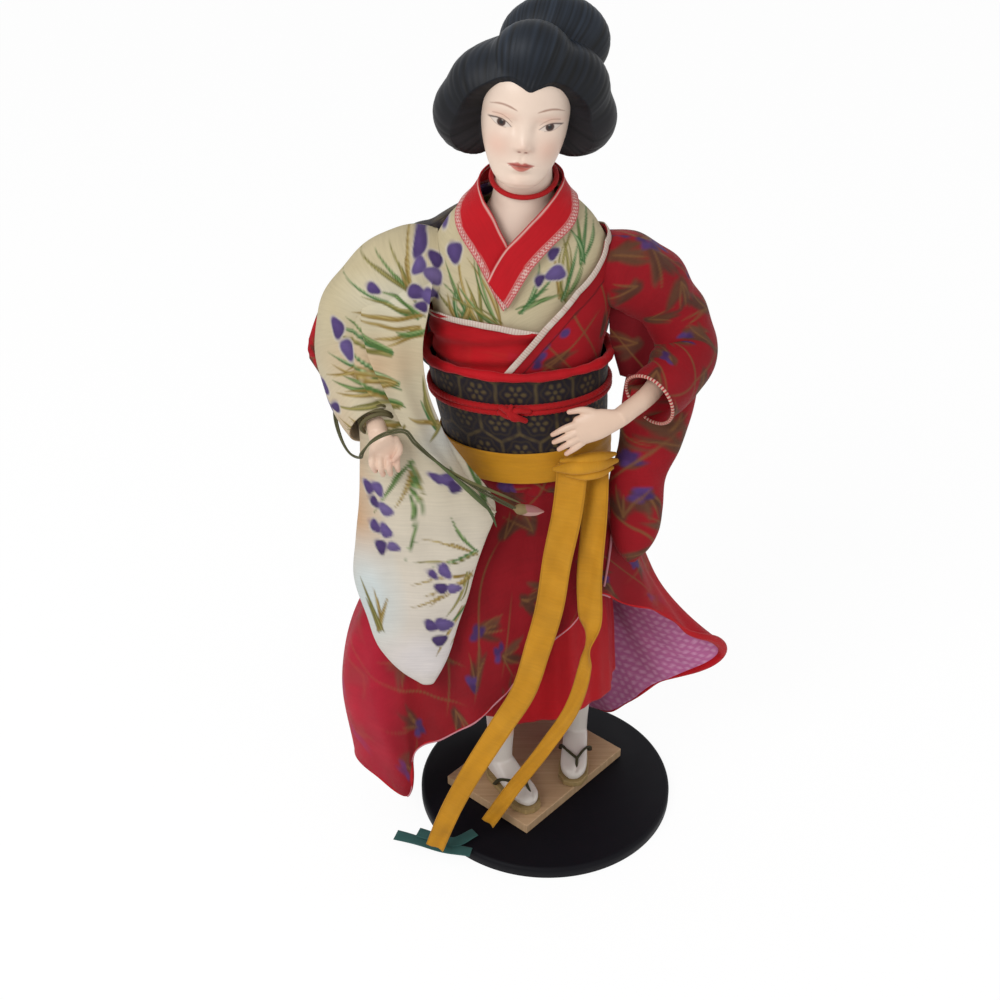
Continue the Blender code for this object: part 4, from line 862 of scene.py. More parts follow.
def leg(side, ankle, turn):
    """Lower leg and foot in a split-toed sock, on its sandal with a dark thong over the toes."""
    forward = np.array((math.cos(turn), math.sin(turn), 0))
    across = np.array((-math.sin(turn), math.cos(turn), 0))
    origin = np.array((*ankle, 0.0))

    def at(along, side_way, up):
        """Place given along the foot, across it and up."""
        return origin + forward * along + across * side_way + np.array((0, 0, up))

    shape = smooth_path(FOOT_SHAPE, 40)
    a = circle(40)
    up = 0.5 + 0.5 * np.sign(np.sin(a)) * np.abs(np.sin(a)) ** 0.7
    cleft = np.exp(-((shape[:, :1] - 29) / 6) ** 2) * np.exp(-((np.cos(a) * 7.4 - 2.2) / 0.9) ** 2)
    up = up[None] * shape[:, 2:] * (1 - 0.35 * cleft * (np.sin(a) > 0))
    wide = 7.4 * shape[:, 1:2] * np.cos(a)
    foot = origin + forward * shape[:, :1, None] + across * wide[..., None] + np.array((0, 0, 1)) * (up + 4)[..., None]
    axis = [at(-2, 0, h) for h in (8, 20, 40, 68, 97)]
    shin = limb(axis, [6.4, 6.4, 7.6, 9, 9], count=24, sides=32, towards=(0, 1, 0))

    def paint(points):
        colours = even("DDD5CC", points)
        height = np.clip((points[:, 2] - 34) / 1.2, 0, 1)[:, None]
        colours = colours * (1 - height) + linear("E3C3AE") * height
        # Painted shade low on the foot: the sock is browned towards the sole, where the foot meets the sandal.
        shade_near_sole = np.clip((9 - points[:, 2]) / 9, 0, 1)[:, None] * 0.35
        return colours * (1 - shade_near_sole) + linear("B7A48C") * shade_near_sole

    blended(side + "_socked_leg", [{"points": foot, "wrap": True, "ends": True}, shin], SOCK,
            (side + "_leg",), 0.6, 6, paint)
    toe = at(21, 1.8, 12.6)
    straps = []
    for edge in (-7.6, 8.2):
        path = [toe, at(15, edge * 0.62, 13.4), at(8, edge * 0.98, 10), at(4, edge * 1.04, 4.2)]
        straps.append(rounded_limb(path, [1, 1.3, 1.4, 1.4], [0.7] * 4, count=20, sides=10))
    straps.append(rounded_limb([toe + (0, 0, -0.4), at(25, 1.8, 8), at(27, 1.8, 4)], [0.9, 0.8, 0.8], count=10,
                               sides=8))
    for strap in straps:
        strap["paint"] = even("3E3A26", strap["points"])
    piece(side + "_sandal_thong", straps, TRIM)


ARM_ROUTES = {
    "right": ((-41, 3, 301), (-66, 2, 296), (-86, -5, 279), (-87, -20, 267), (-81.5, -44, 254), (-78, -62, 241)),
    "left": ((9, 3, 301), (34, 2, 296), (54, -4, 275), (50, -18, 262), (37, -36, 254), (22, -48, 247)),
}
HANDS = {
    "right": (
        ((-80, -53, 249), (-78, -57, 246), (-76.5, -58.5, 241)), (5, 6.8, 6.8),
        (((-82, -59, 243), (-82.4, -62.4, 240), (-81.2, -60.6, 234.6)),
         ((-78.6, -59, 242.6), (-78.8, -63, 239), (-77.8, -61.2, 233)),
         ((-75, -59, 242.6), (-75, -63, 239), (-74.4, -61.2, 233.2)),
         ((-71.6, -58.6, 243), (-71.4, -62, 239.6), (-71, -60.6, 235))),
        ((-72, -56, 248), (-70, -60.4, 245), (-72.6, -63.4, 242)), (0, 1, 0.2),
    ),
    "left": (
        ((28, -42, 251), (19, -43.5, 249), (11, -44, 246)), (5, 7.2, 7),
        (((13, -44, 250.4), (4, -44.6, 247.4), (-1.6, -43.4, 243.4)),
         ((13, -44.5, 247.4), (5, -45.2, 243.6), (-1, -44, 239.8)),
         ((13, -44.5, 244.4), (6.4, -45.2, 240.2), (1.4, -44.5, 236.4)),
         ((14, -44, 241.8), (8.6, -45, 237.4), (4.8, -44.5, 234))),
        ((20, -42, 253), (12, -42.4, 255.6), (5.6, -42.5, 254.6)), (0, 1, -0.2),
    ),
}


def hand(side):
    """Porcelain forearm, wrist, palm and five fingers that taper at each joint."""
    palm, palm_wide, fingers, thumb, facing = HANDS[side]
    arm = smooth_path(ARM_ROUTES[side], 12)[5:9]
    forms = [limb([*arm, palm[0]], np.linspace(5.8, 4.4, 5), count=16, sides=24, towards=(0, 1, 0.2)),
             rounded_limb([arm[-1], *palm], [4.2, 4.6, palm_wide[1], palm_wide[2]], [4, 3.6, 3.4, 3], sides=24,
                          towards=facing)]
    for finger in (*fingers, thumb):
        forms.append(rounded_limb(finger, [1.9, 1.62, 1.2], count=12, towards=facing))
    tips = np.array([f[2] for f in (*fingers, thumb)], float)

    def paint(points):
        colours = even("E2C3AC", points)
        close = np.min(np.linalg.norm(points[:, None] - tips[None], axis=-1), axis=1)
        warm = np.exp(-((close / 4) ** 2))[:, None] * 0.45
        return colours * (1 - warm) + linear("CE9580") * warm

    blended(side + "_porcelain_hand", forms, SKIN, (side + "_hand",), 0.45, 4, paint)


stand()
leg("right", (-24, -8), math.radians(-56.5))
leg("left", (17.5, 17), math.radians(-95))
for side in ("right", "left"):
    hand(side)


# Head


HEAD_X, HEAD_Z = -15, 377
TILT = math.radians(6.5)
# Height from the eye line, half width, front and back of the face and skull
FACE_LEVELS = np.array((
    (-26.2, 0.8, -17, -14),
    (-25.7, 5, -19.4, -11),
    (-24.4, 8.2, -20.6, -9),
    (-22, 10.8, -21.3, -7),
    (-18, 13.3, -21.4, -4),
    (-12, 16, -21.6, 2),
    (-5, 18, -21.9, 8),
    (3, 19, -22, 13),
    (10, 19.3, -22.3, 15),
    (18, 18.2, -21, 15),
    (25, 14, -16, 11),
    (31, 5, -8, 4),
), float)


def tilted(points):
    """The head leans to its left: turn in the front plane round the middle of the eye line."""
    x, y, z = np.moveaxis(np.asarray(points, float), -1, 0)
    c, s = math.cos(TILT), math.sin(TILT)
    return np.stack([HEAD_X + x * c + z * s, y, HEAD_Z - x * s + z * c], -1)


def bump_at(x, z, place, size):
    """Round swelling of height 1 at a place, falling off over its half sizes."""
    return np.exp(-(((x - place[0]) / size[0]) ** 2) - ((z - place[1]) / size[1]) ** 2)


def face():
    """Egg of level rings with its columns close at the front; nose, lips, eyes, brows, cheeks and chin are
    smooth swellings and hollows laid over it."""
    height = np.concatenate([np.linspace(-26.2, 20, 190), np.linspace(20.6, 31, 20)])
    s = np.linspace(-1, 1, 300, endpoint=False)
    turn = -math.pi / 2 + math.pi * s * (0.42 + 0.58 * s * s)
    wide, front, back = (smooth_read(height, FACE_LEVELS[:, 0], FACE_LEVELS[:, i])[:, None] for i in (1, 2, 3))
    square = 1.0 + 0.06 * (np.abs(np.sin(2 * turn)) ** 2)
    x = wide * np.cos(turn) * square
    y = (front + back) / 2 + (back - front) / 2 * np.sin(turn)
    z = height[:, None] + 0 * x
    ahead = np.clip(-np.sin(turn), 0, 1) ** 0.5 + 0 * x
    side = np.abs(x)
    bridge = bump_at(x, z, (0, 0), (3.6, 8))
    nose = 2.3 * bump_at(x, z, (0, -6.0), (3.1, 2.8)) + 1.1 * bump_at(x, z, (0, -3.5), (3.3, 4.5)) + 0.6 * bridge
    nose += 1.0 * bump_at(side, z, (3.0, -6.9), (1.5, 1.5))
    nose -= 0.5 * bump_at(side, z, (1.3, -8.6), (0.6, 0.5))
    lips = 1.2 * bump_at(x, z, (0, -15.4), (5, 3.4)) + 0.9 * bump_at(side, z, (1.3, -14), (1.9, 0.8))
    lips += 1.1 * bump_at(x, z, (0, -16.6), (3, 1.1)) - 0.75 * bump_at(x, z, (0, -15.1), (5.2, 0.42))
    lips -= 0.5 * bump_at(x, z, (0, -19.3), (4, 1.2)) + 0.35 * bump_at(x, z, (0, -11.4), (0.9, 1.4))
    chin = 1.2 * bump_at(x, z, (0, -22.4), (4.5, 2.6))
    cheek = 0.8 * bump_at(side, z, (10, -7), (5, 6))
    socket = 1.5 * bump_at(side, z, (9.6, 1.8), (5.2, 3.2)) + 0.9 * bump_at(side, z, (4.6, 1.5), (2, 3))
    lid = 0.95 * bump_at(side, z, (10.4, 2.2), (3.9, 2.3)) + 0.35 * bump_at(side, z, (10.5, 4.9), (4.2, 0.6))
    brow = 0.5 * bump_at(side, z, (10, 8.5), (6, 2))
    y = y - (nose + lips + chin + cheek - socket + lid + brow) * ahead
    return x, y, z


def outline(x, z, upper, lower):
    """How far a point lies inside the shape between two curves, each given as (x, z) points, in mm."""
    upper, lower = np.array(upper, float), np.array(lower, float)
    top = smooth_read(x, upper[:, 0], upper[:, 1])
    low = smooth_read(x, lower[:, 0], lower[:, 1])
    inside = np.minimum(top - z, z - low)
    return np.minimum(inside, np.minimum(x - upper[0, 0], upper[-1, 0] - x) * 0.5)


def face_paint(x, y, z):
    """Bisque skin with a blush; lids, brows and lashes as fine brown lines, dark irises and brick-red lips."""
    shape = x.shape
    flat_x, flat_z = x.ravel(), z.ravel()
    side = np.abs(flat_x)
    front = (y.ravel() < 2)
    colours = even("E9D2C0", flat_x[:, None])

    def cover(amount, code, strength=1.0):
        """Lay a colour over the front of the face."""
        lay(colours, np.clip(amount, 0, 1) * strength * front, linear(code))

    cover(bump_at(side, flat_z, (11, -7.5), (6, 5.5)), "E3A890", 0.42)
    cover(bump_at(flat_x, flat_z, (0, -6.5), (3, 2.6)), "E2B09A", 0.3)
    cover(bump_at(flat_x, flat_z, (0, -23.5), (6, 3)), "E5B9A4", 0.35)
    cover(bump_at(side, flat_z, (10.3, 5.4), (6, 1.8)), "D9A791", 0.5)
    cover(bump_at(side, flat_z, (1.4, -8.7), (0.75, 0.45)) * 1.4, "8C4F40", 0.8)
    eye_top = ((6, 0.9), (7.4, 2.2), (9.6, 3.4), (12, 3.7), (13.8, 3.5), (15.2, 3.2))
    eye_low = ((6, 0.9), (7.4, 0.55), (9.6, 0.45), (12, 0.9), (13.8, 2.0), (15.2, 3.2))
    eye = outline(side, flat_z, eye_top, eye_low)
    white = np.clip(eye / 0.4 + 0.5, 0, 1)
    cover(white, "DCCCC0")
    ring = np.hypot(side - 10.3, flat_z - 2.2)
    cover(white * np.clip((1.85 - ring) / 0.35 + 0.5, 0, 1), "3E241A")
    cover(white * np.clip((0.9 - ring) / 0.3 + 0.5, 0, 1), "120B09")
    # Pale dot over each iris: a painted highlight, the glint of the lamp in the eye.
    cover(white * bump_at(side, flat_z, (9.8, 3.3), (0.35, 0.35)), "E6DAD0", 0.8)
    lash = smooth_read(side, *np.array(eye_top).T)
    inside = np.clip((side - 5.4) / 0.8, 0, 1) * np.clip((16.4 - side) / 1.2, 0, 1)
    cover(np.clip((0.36 + 0.2 * (side - 6) / 9 - np.abs(flat_z - lash - 0.05)) / 0.35, 0, 1) * inside, "3A211A", 0.9)
    cover(np.clip((0.28 - np.abs(flat_z - lash - 2.0)) / 0.3, 0, 1) * inside * (side < 14.5), "8A5744", 0.75)
    under = smooth_read(side, *np.array(eye_low).T)
    cover(np.clip((0.24 - np.abs(flat_z - under + 0.1)) / 0.3, 0, 1) * inside * (side > 8), "6B4030", 0.7)
    brow = smooth_read(side, (4.2, 7, 9.5, 12.5, 16), (8.5, 9.5, 10, 9.9, 8.8))
    thick = np.interp(side, (4.2, 7, 12, 16), (0.16, 0.42, 0.36, 0.08))
    reach = np.clip((side - 3.9) / 0.8, 0, 1) * np.clip((16.3 - side) / 0.8, 0, 1)
    cover(np.clip((thick - np.abs(flat_z - brow)) / 0.45 + 0.5, 0, 1) * reach, "8B5B45", 0.75)
    upper = outline(flat_x, flat_z, ((-5.5, -14.5), (-3.6, -13.9), (-1.5, -13.3), (0, -13.7), (1.5, -13.3),
                                     (3.6, -13.9), (5.5, -14.5)),
                    ((-5.5, -14.8), (-2.5, -15.3), (0, -15.1), (2.5, -15.3), (5.5, -14.8)))
    lower = outline(flat_x, flat_z, ((-5.2, -14.8), (-2.5, -15.3), (0, -15.1), (2.5, -15.3), (5.2, -14.8)),
                    ((-5.2, -14.9), (-3, -16.2), (0, -16.9), (3, -16.2), (5.2, -14.9)))
    cover(upper / 0.6 + 0.5, "A52A1F", 0.9)
    cover(lower / 0.6 + 0.5, "B5402F", 0.85)
    cover(np.clip((0.22 - np.abs(flat_z + 15.1 + 0.012 * flat_x**2)) / 0.25, 0, 1) * (side < 5.2), "5A1C18", 0.8)
    return colours.reshape(*shape, 3)


def neck():
    """Neck and shoulder plate: the round neck spreads row by row into the layer just inside the bodice."""
    levels = np.array(((309, 0), (316, 0), (323, 0.25), (329, 0.45), (335, 0.65), (342, 0.85), (349, 1), (366, 1)),
                      float)
    height = np.linspace(309, 366, 70)[:, None]
    share = smooth_read(height, *levels.T)
    turn = round_body(110)[None] + 0 * height
    outer = on_body(turn, np.minimum(height, 340), -0.9)
    outer[..., 2] = height
    round_neck = np.stack([HEAD_X + NECK_RADIUS * np.cos(turn), -1 + NECK_RADIUS * np.sin(turn), height + 0 * turn],
                          -1)
    return outer * (1 - share[..., None]) + round_neck * share[..., None]


# Masses of the dressed hair: middle and half sizes, from the middle of the head
HAIR_MASSES = (
    ((-21, 1, 378), (18.5, 15, 18)),
    ((22, 1, 376), (18, 15, 17)),
    ((2, 0, 389), (33, 22.6, 23)),
    ((3, -8, 404), (17, 13, 15.5)),
    ((-13, -3, 389), (20, 15.5, 18.5)),
    ((17, -4, 390), (18.5, 15.5, 18)),
    ((13, 16, 404), (24, 14, 20)),
    ((1, 12, 379), (26, 16, 20)),
)
HAIR_LINE = ((0, -22, 17), (4, -21, 18.6), (8, -19, 19.6), (12, -17, 18), (14.6, -15, 15), (17, -12, 10.6),
             (18.6, -9, 4), (18.6, -7, -3),
             (17, -5.5, -11), (15, -3, -16), (12, 4, -19), (7, 10, -20), (0, 13, -20.5))
HAIR_MIDDLE = np.array((1, 2, 388.0))


def hair_reach(way):
    """How far the hair reaches from its middle along a direction: the furthest mass, softly blended."""
    total = np.zeros(way.shape[:-1])
    for centre, half in HAIR_MASSES:
        half = np.array(half, float)
        ray, start = way / half, (HAIR_MIDDLE - centre) / half
        a, b, c = (ray**2).sum(-1), (ray * start).sum(-1), (start**2).sum(-1) - 1
        inside = b * b - a * c
        total += np.maximum(np.where(inside > 0, (-b + np.sqrt(np.maximum(inside, 0))) / a, 0), 0) ** 20
    return total ** (1 / 20)


def hair():
    """Combed hair: columns are strands from the hairline on the face up and over to one point behind."""
    half = np.array(HAIR_LINE, float)
    line = smooth_path(np.vstack([half, (half * (-1, 1, 1))[-2:0:-1]]), 380, closed=True)
    line = tilted(line) - (HEAD_X, 0, 0)
    start = line - HAIR_MIDDLE
    length = np.linalg.norm(start, axis=-1)
    way = start / length[:, None]
    pole = unit(np.array((0.25, 0.72, 0.65)))
    share = np.linspace(0, 1, 190) ** 1.25
    angle = np.arccos(np.clip(way @ pole, -1, 1))[None]
    rows = share[:, None] * 0.985
    turned = (np.sin((1 - rows) * angle) / np.sin(angle))[..., None] * way[None] \
        + (np.sin(rows * angle) / np.sin(angle))[..., None] * pole
    reach = hair_reach(turned)
    rise = np.clip(share / 0.035, 0, 1)[:, None]
    rise = rise * rise * (3 - 2 * rise)
    strand = np.arange(380)
    rng = np.random.default_rng(8)
    groove = np.sin(strand * FULL_TURN / 5) * 0.12 + rng.uniform(-1, 1, 380) * 0.13
    groove = groove[None] * (0.4 + 0.6 * np.abs(uneven((190, 380), 4, (24, 12)))) * rise
    depth = length[None] * (1 - rise) + reach * rise + groove
    points = HAIR_MIDDLE + turned * depth[..., None] + (HEAD_X, 0, 0)
    # Strands painted lighter on their ridges and darker in their grooves: partly the tone of the strands, partly
    # painted shade in the grooves.
    streak = np.clip(0.5 + groove * 2.2 + 0.35 * uneven((190, 380), 9, (40, 3)), 0, 1)[..., None]
    colours = linear("050608") * (1 - streak) + linear("12161E") * streak
    # Blue-grey laid over the ridges high on the head: a painted reflection of the light from above.
    upper = np.clip((points[..., 2] - 395) / 25, 0, 1)[..., None] * streak
    colours = colours * (1 - 0.45 * upper) + linear("3C4858") * 0.45 * upper
    low = (np.clip((388 - points[..., 2]) / 26, 0, 1) * np.clip((4 - points[..., 1]) / 10, 0, 1))[..., None] * streak
    colours = colours * (1 - 0.4 * low) + linear("3A2C26") * 0.4 * low
    return {"points": points, "wrap": True, "ends": True, "paint": colours}


def head():
    """Painted face on its neck and shoulder plate, the combed hair, and the cord tied round the neck."""
    x, y, z = face()
    shell = tilted(np.stack([x, y, z], -1))
    skin = neck()
    piece("porcelain_face_and_neck", [
        {"points": shell[::-1], "wrap": True, "ends": True, "paint": face_paint(x, y, z)[::-1]},
        {"points": skin[::-1], "wrap": True, "ends": True, "paint": even("E7CFBD", skin)},
    ], SKIN, ("head",))
    piece("dressed_hair", [hair()], HAIR)
    turn = circle(160)
    thick = 1.15
    ring = NECK_RADIUS + 0.6 + thick
    path = np.stack([HEAD_X + ring * np.cos(turn), -1 + ring * np.sin(turn),
                     NECK_CORD_HEIGHT + ring * np.sin(turn) * math.tan(math.radians(18))], -1)
    piece("red_neck_cord", [{"points": ring_closed(tube(path, thick, sides=14, towards=(0, 0, 1), closed=True)),
                             "wrap": True}],
          CORD, ("neck_cord",))


head()


# Clothes on the body

NECKLINE = np.array(((-180, 342), (-152, 338), (-121, 330), (-110, 321.5), (-100, 311), (-91.5, 320), (-78, 328.5),
                     (-55, 337), (0, 341), (90, 343), (180, 342)), float)
KIMONO_EDGE = np.array(((60, 283), (80, 286), (104, 289), (122, 290), (150, 290), (180, 287), (220, 297), (270, 309),
                        (330, 322), (350, 324), (379, 321), (386, 318), (415.6, 304), (435, 289), (460, 266)), float)
COLLAR_EDGES = np.array((
    (-92, 305, -101, 296), (-99.6, 325, -121, 318), (-110.5, 333.5, -140, 327), (-142, 342, -165, 334),
    (-180, 348, -180, 337), (-225, 352, -225, 339), (-270, 354, -270, 341), (-315, 353, -315, 340),
    (-350, 351, -350, 339), (-380, 348, -372, 338), (-418, 342, -404, 332), (-446, 333.5, -431, 323.5),
    (-459.6, 325, -443.5, 315), (-471, 310, -458, 298),
), float)
GIRTH = 38


def wrap_grid(turns, low, high, out, rows):
    """Grid on the body between a lower and an upper edge, rows running down from the upper one."""
    share = 1 - np.linspace(0, 1, rows)[:, None] ** 1.2
    return on_body(turns + 0 * share, low + (high - low) * share, out + 0 * share)


def outward(grid, wrap=True):
    """Normals of a grid, turned to point away from its middle."""
    normal = normals(grid, wrap)
    away = (normal * (grid - grid.reshape(-1, 3).mean(axis=0))).sum()
    return normal if away > 0 else -normal


def cream_bodice():
    """Printed cream bodice: wrapped grid from the obi to the neckline, swelling a little unevenly."""
    turns = round_body(320)
    degrees = np.degrees((turns + math.pi) % FULL_TURN - math.pi)
    top = np.interp(degrees, *NECKLINE.T)
    grid = wrap_grid(turns, BODICE_LOW, top, CREAM_OUT - 0.1, 110)
    swell = 0.25 * uneven(grid.shape[:2], 3, (12, 24)) + 0.15
    grid = grid + outward(grid) * swell[..., None]
    piece("printed_cream_bodice", [{"points": grid, "wrap": True, "paint": cream_print(grid, outward(grid))}],
          CREAM_SILK, ("cream_bodice",), wall=-0.8)


def red_bodice():
    """Printed red kimono over it: an open grid round the body whose left edge crosses the front, with a plain
    lapel band along its trim and a plain, folded part at the right."""
    around = np.linspace(60, 460, 420)
    top = np.interp(around, *KIMONO_EDGE.T)
    out = np.interp(around, (395, 425), (RED_OUT, CROSSED_OUT))
    grid = wrap_grid(-np.radians(around), BODICE_LOW, top, out, 70)
    folds = 0.35 * uneven(grid.shape[:2], 11, (14, 20)) + 0.1
    normal = outward(grid, False)
    grid = grid + normal * folds[..., None]
    at = np.stack([np.broadcast_to(-np.radians(around) * GIRTH, grid.shape[:2]), grid[..., 2]], -1).reshape(-1, 2)
    named = [[(-(FULL_TURN + math.acos((x + 16) / 41)) * GIRTH, z) for x, z in
              ((-4.5, 294), (1.4, 291), (-2, 286), (4, 285.5), (-7.5, 288), (-5, 280.5))]]
    colours = red_print(at, seed=5, pitch=24, named=named)
    side = np.broadcast_to(around, grid.shape[:2]).ravel()
    below = (np.interp(side, *KIMONO_EDGE.T) - at[:, 1]) * 0.75
    lay(colours, (7.5 - below) / 0.8 + 0.5, linear("A30E1A"))
    lay(colours, (0.35 - np.abs(below - 7.9)) / 0.5 + 0.5, linear("5E0A12"))
    lay(colours, np.clip((250 - side) / 20, 0, 1) * 0.93, linear("B80F1A"))
    fold = 0.9 * np.sin((grid[..., 2] - 262 - 6 * np.cos(np.radians(around))) * 0.62) * (around < 250)
    grid = grid + normal * fold[..., None]
    piece("printed_red_bodice", [{"points": grid, "paint": colours, "uv": at}], RED_SILK,
          ("red_kimono_bodice",), wall=-0.8)


def zigzag(u, v, pitch, rise):
    """Distance from a zigzag line that runs along u and swings rise either way in v."""
    swing = rise * (4 * np.abs((u / pitch) % 1 - 0.5) - 1)
    return np.abs(v - swing) * 0.75


def collar():
    """Plain red band crossed left over right, with pale piping inside and a zigzag braid outside."""
    count = 460
    inner = smooth_path(COLLAR_EDGES[:, :2], count)
    outer = smooth_path(COLLAR_EDGES[:, 2:], count)
    share = np.linspace(0, 1, 44)[:, None]
    turn = np.radians(inner[:, 0] + (outer[:, 0] - inner[:, 0]) * share)
    height = inner[:, 1] + (outer[:, 1] - inner[:, 1]) * share
    out = np.interp(inner[:, 0], (-440, -395), (CROSSED_OUT, RED_OUT)) + 0 * share
    grid = on_body(turn, height, out + 0.35 * np.sin(share * math.pi))
    across = np.linalg.norm(grid[-1] - grid[0], axis=-1)
    along = run_along(grid[22])
    u, v = np.broadcast_arrays(along[None], across[None] * share)
    colours = even("BE0F1C", u.reshape(-1, 1))
    flat_u, flat_v, gap = u.ravel(), v.ravel(), (across[None] * (1 - share)).ravel()
    pale, pink = linear("E3C7BC"), linear("C24A4E")
    lay(colours, (0.42 - np.abs(flat_v - 0.9)) / 0.4 + 0.5, linear("DDA79E"))
    lay(colours, (3.5 - gap) / 0.4 + 0.5, pale)
    for phase in (0, 1.6):
        lay(colours, (0.32 - zigzag(flat_u + phase, gap - 1.8, 3.2, 1.2)) / 0.35 + 0.5, pink)
    lay(colours, (0.3 - np.abs(gap - 0.25)) / 0.3 + 0.5, pink)
    lay(colours, (0.25 - np.abs(gap - 3.2)) / 0.3 + 0.5, pink)
    piece("crossed_red_collar", [{"points": grid, "paint": colours, "uv": np.stack([u, v], -1)}], BRIGHT_RED,
          ("red_collar",), wall=-0.8)


def kimono_edging():
    """White braid with fine red cross stitches, sewn along the upper edge of the red kimono."""
    strips = []
    for first, last in ((62, 184), (322, 459)):
        around = np.linspace(first, last, 260)
        top = np.interp(around, *KIMONO_EDGE.T)
        slope = np.gradient(top, np.radians(around) * GIRTH)
        out = np.interp(around, (395, 425), (RED_OUT, CROSSED_OUT)) + 0.55
        share = np.linspace(-0.6, 2.3, 9)[:, None]
        norm = np.sqrt(1 + slope**2)
        turn = -np.radians(around) - share * slope / norm / GIRTH
        height = top + 0.2 - share / norm
        crown = 0.35 * (1 - ((share - 0.85) / 1.5) ** 2)
        grid = on_body(turn, height, out + crown)
        along = run_along(grid[4])
        u, v = np.broadcast_arrays(along[None], share)
        colours = even("D8CABD", u.reshape(-1, 1))
        stitch = np.cos(u.ravel() * FULL_TURN / 1.3) - 0.35
        lay(colours, stitch, linear("B98A7E"))
        strips.append({"points": grid, "paint": colours, "uv": np.stack([u, v], -1)})
    piece("stitched_white_edging", strips, TRIM, wall=-0.4)


def brocade_paint(at):
    """Gold figures on dark violet: hexagons side by side, each with a six-petalled flower in it, worn thin."""
    pitch = 17.5
    step = np.array((pitch, pitch * math.sqrt(3)))
    one = (at + step / 2) % step - step / 2
    two = at % step - step / 2
    near_one = (one**2).sum(1) < (two**2).sum(1)
    spot = np.where(near_one[:, None], one, two)
    ways = np.array(((1, 0), (0.5, 0.866), (-0.5, 0.866)))
    edge = pitch / 2 - np.abs(spot @ ways.T).max(axis=1)
    radius, angle = np.hypot(*spot.T), np.arctan2(spot[:, 1], spot[:, 0])
    dots = 1.5 - np.hypot(radius - 3.3, 3.3 * np.sin(3 * angle) / 3 * 1.6)
    colours = even("1F1922", at)
    gold = linear("584A30")
    worn = 0.65 + 0.35 * np.sin(at[:, 0] * 0.9) * np.sin(at[:, 1] * 0.8 + 1)
    lay(colours, ((0.75 - np.abs(edge - 0.2)) / 0.8 + 0.4) * worn, gold)
    lay(colours, (dots / 0.6 + 0.5) * worn, gold)
    lay(colours, ((1.1 - radius) / 0.5 + 0.5) * worn, gold)
    lay(colours, (0.9 - np.abs(radius - 6.2 - 0.5 * np.cos(6 * angle))) * 0.6, gold * 0.6)
    return colours


def waist_band(name, low, high, out, swell, finish, node, paint, rows, count):
    """Sash round the waist between two heights: crowned across, with fine wrinkles along it."""
    turns = round_body(count)
    share = np.linspace(0, 1, rows)[:, None]
    crown = swell * np.sin(share * math.pi) ** 0.7
    grid = on_body(turns + 0 * share, high + (low - high) * share, out + crown)
    wrinkle = 0.22 * uneven((rows, count), len(name), (rows / 5,
                                                       40)) + 0.1 * np.sin(share * 14 + 2 * np.sin(turns * 2))
    grid = grid + outward(grid) * wrinkle[..., None]
    at = together(turns[None] * GIRTH, grid[..., 2])
    piece(name, [{"points": grid, "wrap": True, "paint": paint(at.reshape(-1, 2)), "uv": at}], finish,
          (node,), wall=-0.8)


def yellow_paint(at):
    """Warm yellow with darker brown and paler smudges strewn at random over it."""
    colours = even("C68A1C", at)
    rng = np.random.default_rng(21)
    low, high = at.min(axis=0), at.max(axis=0)
    for _ in range(26):
        spot = rng.uniform(low, high)
        shade = linear("8E6420") if rng.uniform() < 0.5 else linear("D69B2E")
        petal(at, colours, spot, rng.uniform((2, 0.8), (9, 3)), rng.uniform(0, 3),
              linear("C68A1C") * 0.65 + shade * 0.35, soft=7)
    return colours


def cord_ring(height, out, radius):
    """Round cord about the body, its strands shown as turns that rise and sink along it."""
    count, sides, plait = 520, 14, 2.4
    turn = circle(count)
    path = on_body(turn, height, out)
    rings = tube(path, radius, sides=sides, towards=(0, 0, 1), closed=True)
    middle = path[:, None]
    phase = np.arange(count)[:, None] * (turn[1] * 44 / plait) * FULL_TURN + np.arange(sides) * FULL_TURN / sides * 2
    return ring_closed(middle + (rings - middle) * (1 + 0.09 * np.sin(phase))[..., None])


def waist():
    """Obi, yellow sash under it, the rolled cloth above it, and the doubled cord round it with its knot."""
    waist_band("figured_obi", OBI_LOW, OBI_HIGH, OBI_OUT - 0.4, 0.5, BROCADE, "obi", brocade_paint,
               rows=80, count=420)
    waist_band("yellow_waist_sash", SASH_LOW, SASH_HIGH, SASH_OUT - 0.2, 0.3, YELLOW_SILK,
               "yellow_sash",
               yellow_paint, rows=30, count=300)
    turn = circle(420)
    thick = 2.3 + 0.25 * np.sin(turn * 9) + 0.15 * np.sin(turn * 23 + 1)
    path = on_body(turn, ROLL_HEIGHT + 0.3 * np.sin(turn * 5), OBI_OUT + 0.3)
    roll = ring_closed(tube(path, thick, thick * 0.95, 28, (0, 0, 1), closed=True))
    piece("red_obi_roll", [{"points": roll, "wrap": True}], PLAIN_RED, ("obiage",))
    centre = on_body(math.radians(-95), OBI_CORD_HEIGHT, SASH_OUT + 2.4)
    knots = []
    for path, wide in (
        ((centre + (-5, 1.6, 2.4), centre + (-1.6, -0.8, 1.2), centre + (1.6, -1.2, -1), centre + (6, 1.2, -4.4)),
         1.5),
        ((centre + (-5.6, 1.8, -0.4), centre + (-1.4, 0.4, -1.6), centre + (1.6, -0.4, 1.6),
          centre + (7.6, 1.4, 0.4)), 1.5),
        ((centre + (-0.6, 0.6, 3.2), centre + (-1.4, -1.8, 0.4), centre + (0.6, -1.8, -1.8), centre + (3, 0, -3)),
         1.3),
    ):
        knots.append(rounded_limb(path, [wide * 0.9, wide, wide, wide * 0.85], count=26, sides=14,
                                  towards=(0, 1, 0.1)))
    cords = [{"points": cord_ring(OBI_CORD_HEIGHT + step, SASH_OUT - 0.5, 1.45), "wrap": True} for step in (-1.3, 1.3)]
    piece("red_obi_cord", [*cords, *knots], CORD, ("obijime",))


cream_bodice()
red_bodice()
collar()
kimono_edging()
waist()


# Skirts

